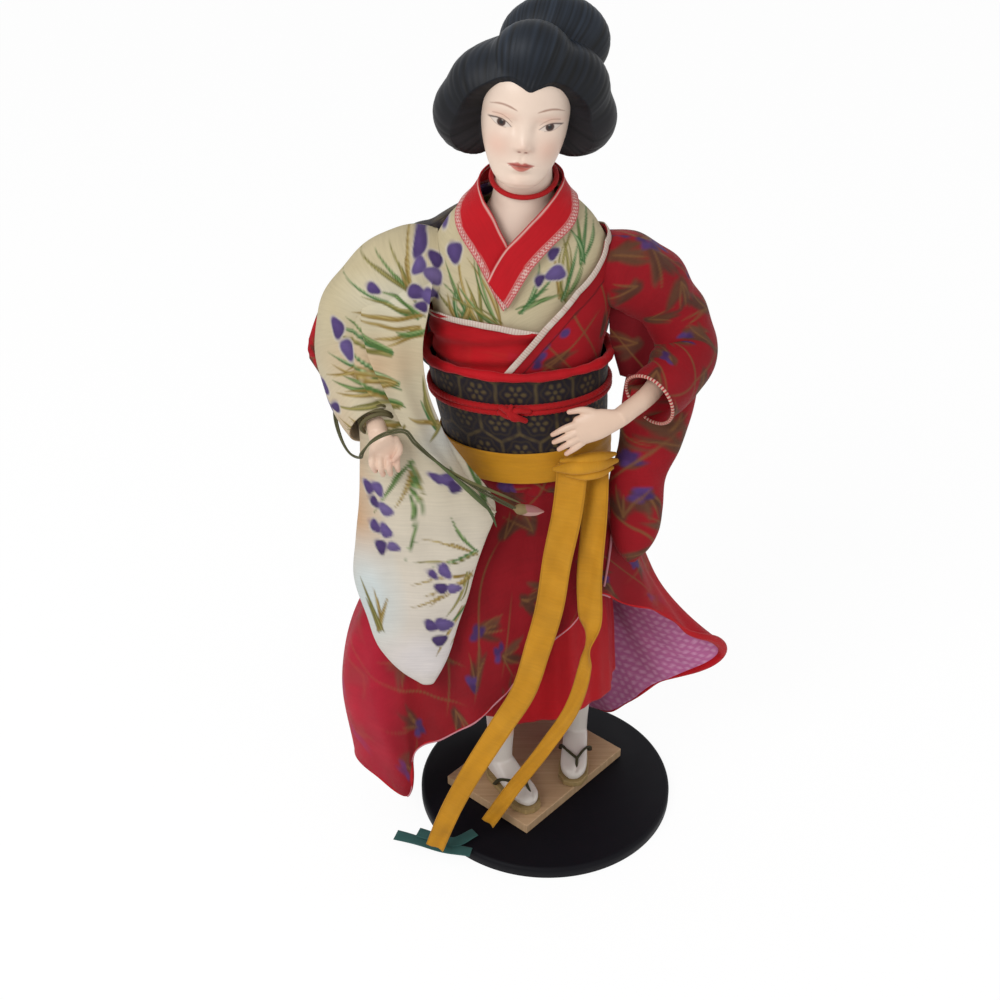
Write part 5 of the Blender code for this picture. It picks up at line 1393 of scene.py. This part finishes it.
SKIRT_UPPER = (
    (-8, -33, 172), (6, -33, 176), (18, -31, 180), (28, -24, 178), (34, -16, 174), (39, -9, 168),
    (42, -3, 162), (43, 4, 158), (43, 11, 152), (41, 17, 148), (38, 23, 144), (34, 30, 140),
    (28, 35, 138), (7, 41, 138), (-22, 42, 138), (-50, 35, 140), (-70, 22, 140), (-84, 4, 140),
    (-90, -12, 138), (-90, -22, 136), (-80, -29, 138), (-66, -33, 146), (-52, -35, 155), (-38, -36, 162),
    (-24, -35, 168),
)
SKIRT_MIDDLE = (
    (-8, -37, 152), (6, -37, 159), (20, -34, 167), (32, -26, 162), (40, -18, 155), (47, -10, 145),
    (52, -4, 137), (57, 2, 128), (60, 8, 115), (57, 15, 105), (51, 23, 95), (44, 32, 85),
    (35, 41, 79), (8, 48, 82), (-25, 47, 85), (-60, 36, 87), (-88, 20, 87), (-103, 2, 89),
    (-109, -14, 82), (-105, -24, 85), (-92, -31, 87), (-76, -35, 99), (-58, -37, 112), (-41, -39, 125),
    (-24, -39, 139),
)
SKIRT_HEM = (
    (-6, -42, 119), (9, -42, 135), (24, -37, 150), (37, -30, 139), (50, -22, 130), (67, -14, 115),
    (79, -8, 102), (90, 1, 90), (94, 6, 78), (84, 12, 65), (64, 18, 50), (48, 28, 27),
    (38, 39, 12), (10, 55, 6), (-25, 53, 6), (-60, 38, 9), (-85, 22, 15), (-100, 2, 23),
    (-104, -17, 26), (-93, -27, 20), (-77, -31, 12), (-70, -33, 45), (-57, -37, 56), (-41, -40, 70),
    (-23, -42, 91),
)


def skirt_surface(out, rows, columns, first=0.0):
    """Skirt from the waist to the hem: level rings on the body, then three drawn rings, joined by smooth
    curves; nine deep folds and finer ones between them grow towards the hem."""
    lower = [np.array(ring, float) for ring in (SKIRT_UPPER, SKIRT_MIDDLE, SKIRT_HEM)]
    upper = lower[0]
    turn = np.unwrap(np.arctan2(upper[:, 1] * 1.3, upper[:, 0] + 10))
    rings = [on_body(turn, h, 2.0 + 0 * turn) for h in (249, 232, 214, 197)] + lower
    s = np.linspace(0, 1, columns, endpoint=False)
    around = s - 0.07 * np.sin(FULL_TURN * s)
    fine = np.linspace(0, 1, 1201)
    read = []
    for ring in rings:
        curve = smooth_path(ring, 1200, closed=True)
        curve = np.vstack([curve, curve[:1]])
        read.append(np.stack([np.interp(around, fine, curve[:, k]) for k in range(3)], -1))
    share = first + (1 - first) * np.linspace(0, 1, rows) ** 0.85
    grid = smooth_rows(np.array(read), share)
    grow = np.clip((share - 0.35) / 0.65, 0, 1)[:, None]
    fold = 1.6 * np.sin(FULL_TURN * 9 * around + 0.6) + 0.55 * np.sin(FULL_TURN * 23 * around + 2.5 * share[:, None])
    soft = 0.5 * uneven((rows, columns), 31, (rows / 6, columns / 40))
    creases = 0.35 * np.sin(share[:, None] * 60 + 5 * np.sin(FULL_TURN * 3 * around)) * (share[:, None] < 0.45)
    lift = fold * grow + (soft + creases * np.clip(share[:, None] * 4, 0, 1)) + out
    return grid + normals(grid) * lift[..., None], around


def skirt_paint(grid, around):
    """Red print laid along each row at its true length, out from the middle of the front and from the middle
    of the back, so that the two halves meet at side seams. The two flares are plainer and brighter."""
    step = np.linalg.norm(np.diff(np.concatenate([grid, grid[:, :1]], 1), axis=1), axis=-1)
    run = np.cumsum(step, axis=1) - step
    down = run_along(grid[:, 0])
    from_front = run - step.sum(axis=1)[:, None] * (around > 0.5)
    from_back = run - run[:, [np.argmin(np.abs(around - 0.5))]]
    along = np.where((around > 0.27) & (around < 0.73), from_back + 500, from_front)
    at = together(along, down[:, None])
    colours = red_print(at.reshape(-1, 2), seed=17, pitch=24, ground="8C0C19")
    x, z = grid.reshape(-1, 3)[:, [0, 2]].T
    right = np.clip((x - 44) / 14, 0, 1) * np.clip((190 - z) / 20, 0, 1)
    lay(colours, right * 0.86, linear("BF0F20"))
    left = np.clip((-72 - x) / 16, 0, 1) * np.clip((150 - z) / 30, 0, 1)
    lay(colours, left * 0.62, linear("C21E3A"))
    return colours, at


def dotted(at, ground, dot, pitch):
    """Pale round dots in even rows, the next row half a step along."""
    step = np.array((pitch, pitch * 2))
    one = (at + step / 2) % step - step / 2
    two = at % step - step / 2
    gap = np.minimum(np.hypot(*one.T), np.hypot(*two.T))
    colours = even(ground, at)
    lay(colours, (pitch * 0.3 - gap) / 0.4 + 0.5, linear(dot))
    return colours


def on_skirt(grid, places):
    """Points of the front of the skirt that lie behind given (x, z) places, moved out a little."""
    front = grid[..., 1] < -2
    normal = outward(grid)
    spots = []
    for x, z in places:
        gap = np.where(front, np.hypot(grid[..., 0] - x, grid[..., 2] - z), 1e9)
        i, j = np.unravel_index(gap.argmin(), gap.shape)
        spots.append(grid[i, j] + normal[i, j] * 0.8)
    return np.array(spots)


def skirts():
    """Printed red skirt with its lining, padded hem and piping, and the plain underskirt below it."""
    grid, around = skirt_surface(0.9, 172, 520)
    hips = 2.4 * np.exp(-(((grid[..., 2] - 205) / 10) ** 2))
    grid = grid + outward(grid) * hips[..., None]
    colours, at = skirt_paint(grid, around)
    inner = skirt_surface(0.1, 40, 120)[0]
    piece("printed_red_skirt", [{"points": grid, "wrap": True, "paint": colours, "uv": at},
                                {"points": inner, "wrap": True, "inside": True,
                                 "paint": even("8E1420", inner)}],
          RED_SILK, ("red_kimono_skirt",))
    lining = skirt_surface(-1.2, 90, 380, first=0.6)[0]
    flat = lining[..., [0, 2]]
    piece("pink_skirt_lining", [{"points": lining, "wrap": True, "inside": True, "uv": flat,
                                 "paint": dotted(flat.reshape(-1, 2), "C873A6", "DDA2C6", 4.2)}],
          LINING, ("skirt_lining",), wall=-0.5)
    hem = skirt_surface(-0.2, 60, 420)[0][-1]
    wide = 0.95 + 1.5 * np.exp(-(((hem[:, 0] - 92) / 16) ** 2)) + 0.3 * np.exp(-(((hem[:, 0] + 95) / 30) ** 2))
    wide = wide + 0.15 * np.sin(np.arange(420) * 0.35)
    roll = piece("padded_hem_roll", [{"points": ring_closed(tube(hem, wide, wide, 20, (0.1, 0.2, 1), closed=True)),
                                      "wrap": True}], PLAIN_RED)
    edge = on_skirt(grid, ((27, 214), (28.5, 205), (29, 195), (29, 185), (28, 175), (26.5, 163), (25, 153)))
    line = smooth_path(edge, 120)
    hem_line = smooth_path(hem[np.concatenate([np.arange(300, 420), np.arange(0, 60)])], 300) + (0, -0.6, -0.9)
    trims = []
    for path, radius in ((line, 0.6), (hem_line, 0.55)):
        rings = tube(path, radius, sides=10, towards=(0, 1, 0.1))
        trims.append({"points": rings, "wrap": True, "ends": True, "paint": even("CE8C95", rings)})
    piece("pink_edge_piping", trims, TRIM)

    turn = round_body(240)
    rings = [on_body(turn, h, 0.3 + 0 * turn) for h in (190, 180)]
    for height, x, y, wide, deep in ((140, -5, 3, 34, 28), (100, -4, 5, 38, 32), (62, -4, 5, 40, 34)):
        rings.append(np.stack([x + wide * np.cos(turn), y + deep * np.sin(turn), height + 0 * turn], -1))
    rings[-1][:, 2] += 0.18 * rings[-1][:, 0]
    rows = np.linspace(0, 1, 92)
    under = smooth_rows(np.array(rings), rows)
    fold = (1.2 * np.sin(turn * 9) + 0.35 * np.sin(turn * 26 + 1)) * rows[:, None]
    under = under + outward(under) * (fold + 0.8 + 0.3 * uneven((92, 240), 6, (15, 14)))[..., None]
    piece("plain_red_underskirt_cloth", [{"points": under, "wrap": True}], PLAIN_RED,
          ("plain_red_underskirt",), wall=-0.8)


# Sleeves


def cuffed(axis, radii, rows, sides, inside, seed):
    """Tube of cloth round the arm that turns back into itself at the wrist: it runs to the end, then back
    up inside. Deep soft wrinkles cross it where the arm bends."""
    depth, swell = 18, 0.8
    shape = smooth_path(np.column_stack([np.asarray(axis, float), radii]), rows)
    outer = tube(shape[:, :3], shape[:, 3], shape[:, 3], sides, (0, 1, 0.2))
    middle = shape[:, None, :3]
    share = np.linspace(0, 1, rows)[:, None]
    turn = circle(sides)[None]
    wrinkle = 0.75 * np.sin(share * 34 + 3.2 * np.sin(turn + 1) + 2 * share) * np.sin(share * math.pi) ** 0.6
    wrinkle = wrinkle * (0.55 + 0.45 * np.cos(turn - 1.2)) + swell * uneven((rows, sides), seed, (rows / 6, sides / 7))
    outer = middle + (outer - middle) * (1 + wrinkle / shape[:, 3][:, None])[..., None]
    back = np.arange(rows - 1, rows - 1 - depth, -1)
    thin = np.linspace(0.955, inside / shape[back[-1], 3], depth)[:, None, None]
    turned = middle[back] + (outer[back] - middle[back]) * thin
    return np.concatenate([outer, turned])


def bag(levels, rows, sides, seed, waves=0.5):
    """Hanging bag of a sleeve: level rings with round corners, wide and thin, with long folds from the top."""
    turn = circle(sides)
    turn = turn + 0.45 * np.cos(turn)
    cosine, sine = np.cos(turn), np.sin(turn)
    rings = []
    for height, x, wide, y, deep in levels:
        rings.append(np.stack([x + wide * np.sign(cosine) * np.abs(cosine) ** 0.8, y + deep * sine,
                               height + 0 * turn], -1))
    grid = smooth_path(np.array(rings), rows)
    share = np.linspace(0, 1, rows)[:, None]
    fold = waves * np.sin(grid[..., 0] * 0.33 + grid[..., 2] * 0.06) * np.sin(share * math.pi)
    fold = fold + 0.6 * uneven((rows, sides), seed, (rows / 5, sides / 9)) * np.sin(share * math.pi) ** 0.5
    return grid + outward(grid) * fold[..., None]


def strip(left, right, rows, columns, crown):
    """Sheet between two edges, bowed out in the middle and rippled along."""
    a, b = smooth_path(left, rows)[:, None], smooth_path(right, rows)[:, None]
    share = np.linspace(0, 1, columns)[None, :, None]
    grid = a + (b - a) * share
    along = np.linspace(0, 1, rows)[:, None]
    lift = crown * np.sin(share[..., 0] * math.pi) + 0.5 * np.sin(share[..., 0] * 12 + along * 5)
    return grid + np.array((0, -1, 0.3)) * lift[..., None]


CREAM_AXIS = ((-51, 2, 309), (-62, 2, 307), (-76, 1, 301), (-91, -4, 287), (-96, -15, 272), (-92, -28, 260),
              (-86, -41, 252.5), (-83.5, -46, 250))
CREAM_BAG = (
    (292, -80, 12, -14, 8), (278, -79, 14, -26, 8), (262, -78, 15, -38, 7), (248, -71, 19, -45.5, 5),
    (230, -65, 25, -48, 4.5), (209, -59, 32, -49, 4.5), (191, -63, 31, -49.5, 4), (171, -66.5, 29.5, -49.5, 4),
    (146, -67.5, 23.5, -49, 3.6), (123, -67, 17, -48.5, 3.2), (108, -64, 8, -48, 2.6), (103, -62, 3.5, -48, 2),
)
FOLD_LEFT = ((-74, -9, 309), (-87, -17, 296), (-85, -34, 281), (-75, -48, 265), (-66, -56, 250), (-55, -57.5, 238),
             (-35, -55.5, 217))
FOLD_RIGHT = ((-55, -12, 309), (-57, -19, 297), (-60, -32, 280), (-57.5, -41, 264), (-52, -46, 250), (-46, -50, 236),
              (-37, -53, 221), (-27, -53.5, 208))
RED_BEHIND = (((20, 1, 312), (24, -2, 296), (26, -4, 272), (31, -6, 254)),
              ((36, 0, 312), (50, -3, 296), (53, -6, 274), (50, -10, 252)))
RED_AXIS = ((19, 2, 309), (28, 2, 306), (40, 2, 300), (54, 2, 284), (61, -4, 268), (54, -18, 258), (43, -30, 254))
RED_BAG = (
    (256, 50, 17, -14, 11), (240, 48, 17, -17, 9), (225, 45, 15, -20, 8), (207, 41, 13.5, -23, 7),
    (192, 41, 12.5, -25, 6.5), (180, 40, 11, -27, 6), (170, 39, 7, -28.5, 5), (165, 38.5, 3, -29, 3),
)


def length_uv(grid):
    """Cloth coordinates of a tube: along the path and round it, in millimetres."""
    girth = np.linalg.norm(np.diff(grid, axis=1), axis=-1).sum(axis=1).mean()
    return together(np.arange(grid.shape[1])[None] / grid.shape[1] * girth, run_along(grid)[:, None])


def sleeves():
    """Hanging cream sleeve with its bag and fold, the red sleeve with its bag, braid and back, and the red
    sleeve that has slipped down behind the arm."""
    tube_grid = cuffed(CREAM_AXIS, (14, 18, 19, 17, 14.5, 13, 12, 11), 190, 180, 7.2, 41)
    bag_grid = bag(CREAM_BAG, 200, 260, 43)
    fold = strip(FOLD_LEFT, FOLD_RIGHT, 190, 80, 2.5)
    fold_normal = np.zeros_like(fold) + (0, -1, 0)
    piece("printed_cream_sleeve", [
        {"points": tube_grid, "wrap": True, "paint": cream_print(tube_grid, outward(tube_grid), 4)},
    ], CREAM_SILK, ("cream_right_sleeve",))
    piece("cream_sleeve_bag", [
        {"points": bag_grid, "wrap": True, "ends": True, "paint": cream_print(bag_grid, outward(bag_grid), 5)},
    ], CREAM_SILK)
    piece("cream_sleeve_fold", [{"points": fold, "paint": cream_print(fold, fold_normal, 6)}], CREAM_SILK,
          wall=-0.8)
    tube_grid = cuffed(RED_AXIS, (14, 17.5, 18, 15, 15, 14, 13), 140, 150, 8, 47)
    bag_grid = bag(RED_BAG, 120, 160, 48, waves=0.8)
    grids = []
    for grid, seed in ((tube_grid, 23), (bag_grid, 24)):
        at = length_uv(grid)
        grids.append({"points": grid, "wrap": True, "ends": grid is bag_grid, "uv": at,
                      "paint": red_print(at.reshape(-1, 2), seed=seed, pitch=18, ground="940D1A")})
    piece("printed_red_sleeve", grids, RED_SILK, ("red_left_sleeve",))
    # Back panel of the red sleeve, printed on a dark red ground: a real part of the sleeve, darkened with painted shade
    # where it hangs behind the arm.
    grid = strip(*RED_BEHIND, 110, 60, 2.0)
    at = grid[..., [0, 2]]
    piece("red_sleeve_behind", [{"points": grid, "uv": at,
                                 "paint": red_print(at.reshape(-1, 2), seed=26, pitch=22, ground="6E0914")}],
          RED_SILK, wall=-0.8)
    rim = smooth_path(tube_grid[139], 200, closed=True)
    band = tube(rim, 0.8, sides=10, towards=(0, 0, 1), closed=True)
    shade = np.where((np.arange(200) % 4 < 2)[:, None, None], linear("D9B7A4"), linear("B03038")) + 0 * band
    piece("red_sleeve_cuff_braid", [{"points": ring_closed(band), "wrap": True, "paint": ring_closed(shade)}], TRIM)
    turn = circle(140)
    rings = []
    for x, low, high, y, deep in ((-60, 262, 280, 11, 5), (-73, 252, 281, 17, 6), (-87, 224, 280, 22, 7),
                                  (-99, 219, 281, 23, 8), (-109, 233, 279, 21, 7), (-115, 245, 269, 19, 4),
                                  (-118, 251, 262, 18, 1.5)):
        rings.append(np.stack([x + 0 * turn, y + deep * np.cos(turn),
                               (low + high) / 2 + (high - low) / 2 * np.sin(turn)], -1))
    slipped = smooth_path(np.array(rings), 100)
    slipped = slipped + outward(slipped) * (0.7 * uneven((100, 140), 52, (16, 14)))[..., None]
    at = length_uv(slipped)
    piece("slipped_red_sleeve", [{"points": slipped, "wrap": True, "ends": True, "uv": at,
                                  "paint": red_print(at.reshape(-1, 2), seed=29, pitch=24, ground="B0101E")}],
          RED_SILK, ("red_slipped_sleeve",))


# Sash tails, bow and flower

TAILS = {
    "long": ((8.8, -33.9, 222), (6.5, -40.5, 202), (2, -46, 177), (-1, -48, 152), (-7, -49, 125), (-14, -50, 98),
             (-27, -52, 73), (-42, -56, 46), (-54, -59.5, 19), (-60, -61, 2)),
    "short": ((19.9, -29.4, 221), (19.5, -37.5, 195), (18, -44.5, 165), (18.5, -46.5, 136), (17, -47, 112),
              (11, -46, 84), (-2, -45, 57), (-17, -44, 30), (-32, -43, 2)),
}


def sash_tail(word):
    """Satin ribbon that hangs from the sash: a strip carried along its route, cupped and rippled."""
    rows, columns = 260, 26
    path = smooth_path(TAILS[word], rows)
    tangent = np.gradient(path, axis=0)
    across = unit(np.cross(tangent, (0.25 if word == "long" else 0.45, 1, 0)))
    out = unit(np.cross(across, tangent))
    out *= -np.sign(out[:, 1:2])
    share = np.linspace(0, 1, rows)[:, None]
    if word == "long":
        half = 7.2 - 2.4 * share**1.5
        twist = 0 * share
    else:
        half = 6.4 - 2.6 * np.clip((share - 0.36) / 0.12, 0, 1)
        twist = 1.0 * np.exp(-(((share - 0.42) / 0.05) ** 2))
    across, out = across * np.cos(twist) + out * np.sin(twist), out * np.cos(twist) - across * np.sin(twist)
    side = np.linspace(-1, 1, columns)[None]
    grid = path[:, None] + across[:, None] * (half * side)[..., None]
    cup = 0.9 * (side**2) * np.sin(share * 7 + 0.5) + 0.45 * np.sin(side * 4 + share * 22)
    grid = grid + out[:, None] * (cup + 0.6)[..., None]
    length = run_along(grid[:, columns // 2])[-1]
    at = together(half * side, share * length).astype(float)
    colours = yellow_paint(at.reshape(-1, 2))
    rim = np.abs(np.abs(np.broadcast_to(side, (rows, columns)).ravel()) - 0.93)
    lay(colours, (0.05 - rim) / 0.05, linear("A8741C"))
    made = piece(f"yellow_sash_tail_{word}", [{"points": grid, "paint": colours, "uv": at}], YELLOW_SILK,
                 (f"sash_tail_{word}",), wall=-0.5)


def sash_knot():
    """Bunched knot of the sash that the tails hang from: three soft folds of the satin, side by side."""
    folds = []
    for path, radii in ((((0, -37.5, 221.5), (9, -40.6, 224.5), (19, -38, 224.5), (29, -30.5, 222)),
                         (1.2, 3.6, 3.6, 1.2)),
                        (((3, -37.6, 226), (12, -39.6, 228.2), (21, -36.2, 227.6), (28, -31, 226)), (1, 2.6, 2.8, 1)),
                        (((6, -38.4, 219), (14, -39.8, 219.6), (22, -35.6, 219), (27, -32, 219)), (1, 2.4, 2.4, 1))):
        form = rounded_limb(np.array(path, float), radii, count=60, sides=26, towards=(0, 1, 0.2))
        at = form["points"][..., [0, 2]].reshape(-1, 2)
        form["paint"] = yellow_paint(at)
        folds.append(form)
    piece("yellow_sash_knot", folds, YELLOW_SILK)


def bow():
    """Drum-shaped bow behind: level rings with squared corners, creased where the cloth folds over."""
    levels = np.array(((231.4, 34, 36, 46), (236, 42, 35.5, 49), (249, 47, 36, 55), (275, 51, 35.6, 60),
                       (300, 52, 31, 58),
                       (317, 49, 27, 51), (327, 40, 27, 43), (332.5, 15, 30, 35)), float)
    rows, sides = 130, 220
    height = np.linspace(231.4, 333, rows)
    half, front, back = (smooth_read(height, levels[:, 0], levels[:, i])[:, None] for i in (1, 2, 3))
    fine = np.linspace(0, FULL_TURN, 4000)
    ring = np.stack([50 * np.sign(np.cos(fine)) * np.abs(np.cos(fine)) ** 0.6,
                     13 * np.sign(np.sin(fine)) * np.abs(np.sin(fine)) ** 0.7], -1)
    gone = run_along(ring)
    turn = np.interp(np.linspace(0, gone[-1], sides, endpoint=False), gone, fine)[None]
    cosine, sine = np.cos(turn), np.sin(turn)
    grid = np.stack([-20 + half * np.sign(cosine) * np.abs(cosine) ** 0.6,
                     (front + back) / 2 + (back - front) / 2 * np.sign(sine) * np.abs(sine) ** 0.7,
                     height[:, None] + 0 * turn], -1)
    edge = np.clip(np.abs(grid[..., 0] + 16) / 42, 0, 1) ** 2 * np.clip((grid[..., 2] - 290) / 42, 0, 1)
    grid[..., 2] -= 15 * edge
    grid[..., 0] -= 9 * edge * (grid[..., 0] > -16)
    crease = -1.6 * np.exp(-(((grid[..., 2] - 262 - 0.08 * grid[..., 0]) / 2.2) ** 2)) * (sine > 0)
    crease = crease + 0.5 * uneven((rows, sides), 61, (22, 24))
    grid = grid + outward(grid) * crease[..., None]
    at = np.stack([grid[..., 0] + grid[..., 1] * 0.6, grid[..., 2]], -1)
    piece("brocade_bow", [{"points": grid, "wrap": True, "ends": True, "uv": at,
                           "paint": brocade_paint(at.reshape(-1, 2))}],
          BROCADE, ("obi_bow",))
    rows, columns = 70, 70
    z = np.linspace(231.3, 180, rows)[:, None]
    x = np.linspace(-46, 6, columns)[None]
    y = 39.6 + 0.012 * (231 - z) + 0.5 * np.sin(x * 0.22) * (231.3 - z) / 50 + 0 * x
    flap = together(x, y, z)
    at = flap[..., [0, 2]]
    piece("brocade_bow_end", [{"points": flap, "uv": at, "paint": brocade_paint(at.reshape(-1, 2))}], BROCADE,
          ("obi_end",), wall=-1.4)


STEM = ((-98, -28, 262), (-101, -33, 250), (-98, -42, 241), (-93, -52, 238.5), (-87.9, -59.6, 241), (-86, -65, 247),
        (-81, -67, 254),
        (-75, -67, 257.5), (-67, -66, 258), (-63, -65, 252), (-52, -64, 240), (-39, -62, 229), (-26, -59, 218),
        (-19, -54, 210.5))


def leaf(route, width):
    """Long leaf: a strip that is widest in the middle, folded along its rib."""
    path = smooth_path(route, 60)
    tangent = np.gradient(path, axis=0)
    across = unit(np.cross(tangent, (0, 1, 0.3)))
    share = np.linspace(0, 1, 60)[:, None]
    side = np.linspace(-1, 1, 9)[None]
    half = width * np.sin(share * math.pi) ** 0.6 + 0.1
    grid = path[:, None] + across[:, None] * (half * side)[..., None]
    return grid + np.array((0, -1, 0)) * (0.5 * half * (1 - np.abs(side)))[..., None]


def spray():
    """Wrapped wire stem of two strands with three loops round the wrist, its leaves, and the folded bud."""
    path = smooth_path(STEM, 260)
    tangent = unit(np.gradient(path, axis=0))
    one = unit(np.cross(tangent, (0, 0.4, 1)))
    two = np.cross(tangent, one)
    phase = np.linspace(0, 9, 260)[:, None]
    strands = []
    for start in (0, math.pi):
        way = one * np.cos(phase + start) + two * np.sin(phase + start)
        rings = tube(path + way * 0.55, 0.5, sides=10, towards=(0, 0.4, 1))
        strands.append({"points": rings, "wrap": True, "ends": True, "paint": even("4B4A2C", rings)})
    wrist = smooth_path(ARM_ROUTES["right"], 12)[7:10]
    way = unit(wrist[2] - wrist[0])
    for step, lean in ((6.5, 0.12), (8.6, -0.14), (10.6, 0.05)):
        turn = circle(90)
        side = unit(np.cross(way, (0, 0, 1)))
        up = np.cross(side, way)
        loop = wrist[2] + way * (step - 6 + lean * 8 * np.cos(turn))[:, None] \
            + (side * np.cos(turn)[:, None] + up * np.sin(turn)[:, None]) * 7.4
        rings = ring_closed(tube(loop, 0.95, sides=10, towards=way, closed=True))
        strands.append({"points": rings, "wrap": True, "paint": even("5A5232", rings)})
    piece("wrapped_flower_stem", strands, LEAF, ("flower_stem",))
    leaves = []
    for route, width, code in (
        (((-56, -65, 244), (-46, -65, 234), (-36, -64, 222), (-28, -62, 212)), 0.9, "4E5A30"),
        (((-50, -64, 238), (-38, -65, 231), (-26, -63, 224), (-16, -60, 217)), 0.8, "5E5A32"),
        (((-46, -64, 234), (-37, -64, 225), (-30, -62, 214), (-27, -60, 204)), 0.8, "44502C"),
    ):
        grid = leaf(route, width)
        leaves.append({"points": grid, "paint": even(code, grid)})
    piece("silk_leaves", leaves, LEAF, wall=-0.3)
    start = path[-1] + unit(path[-1] - path[-2]) * 0.4
    way = unit(np.array((15, 8, -7.0))) * 17
    petals = []
    for k, code in enumerate(("B98380", "A8706E", "C49890", "8E7A52")):
        a = k * FULL_TURN / 3
        push = np.array((0, math.cos(a), math.sin(a))) * (0.55 if k < 3 else 0)
        long = 1.0 if k < 3 else 0.42
        form = rounded_limb([start, start + way * 0.3 * long + push, start + way * 0.7 * long + push,
                             start + way * 0.96 * long],
                            [0.7, 2.1, 1.7, 0.5] if k < 3 else [0.9, 2.4, 2.5, 2.3], count=26, sides=22, towards=(0,
                                                                                                                  1, 0))
        form["paint"] = even(code, form["points"])
        petals.append(form)
    piece("folded_flower_bud", petals, LEAF, ("flower_bud",))


def stand_ribbon():
    """Two short ends of woven ribbon that lie crossed on the edge of the disc."""
    top = BASE_HEIGHT - BOARD_TOP + 0.35
    ends = []
    for route, wide, lift in ((((-82, -45), (-68, -50), (-54, -55), (-41, -58)), 3.4, 0.2),
                              (((-70, -44), (-60, -48), (-50, -51), (-39, -44)), 3.2, 1.1)):
        path = smooth_path(np.column_stack([np.array(route, float), np.zeros(4)]), 80)
        tangent = np.gradient(path, axis=0)
        across = unit(np.stack([-tangent[:, 1], tangent[:, 0], 0 * tangent[:, 0]], -1))
        share = np.linspace(0, 1, 80)[:, None]
        side = np.linspace(-1, 1, 13)[None]
        grid = path[:, None] + across[:, None] * (wide * side)[..., None]
        grid[..., 2] += top + lift + 0.3 * np.sin(share * 9 + side)
        ends.append({"points": grid})
    piece("teal_ribbon_ends", ends, TEAL, ("teal_ribbon",), wall=-0.3)


skirts()
sleeves()
sash_tail("long")
sash_tail("short")
sash_knot()
bow()
spray()
stand_ribbon()
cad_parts["stuffed_body"].data.materials.clear()
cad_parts["stuffed_body"].data.materials.append(CALICO)
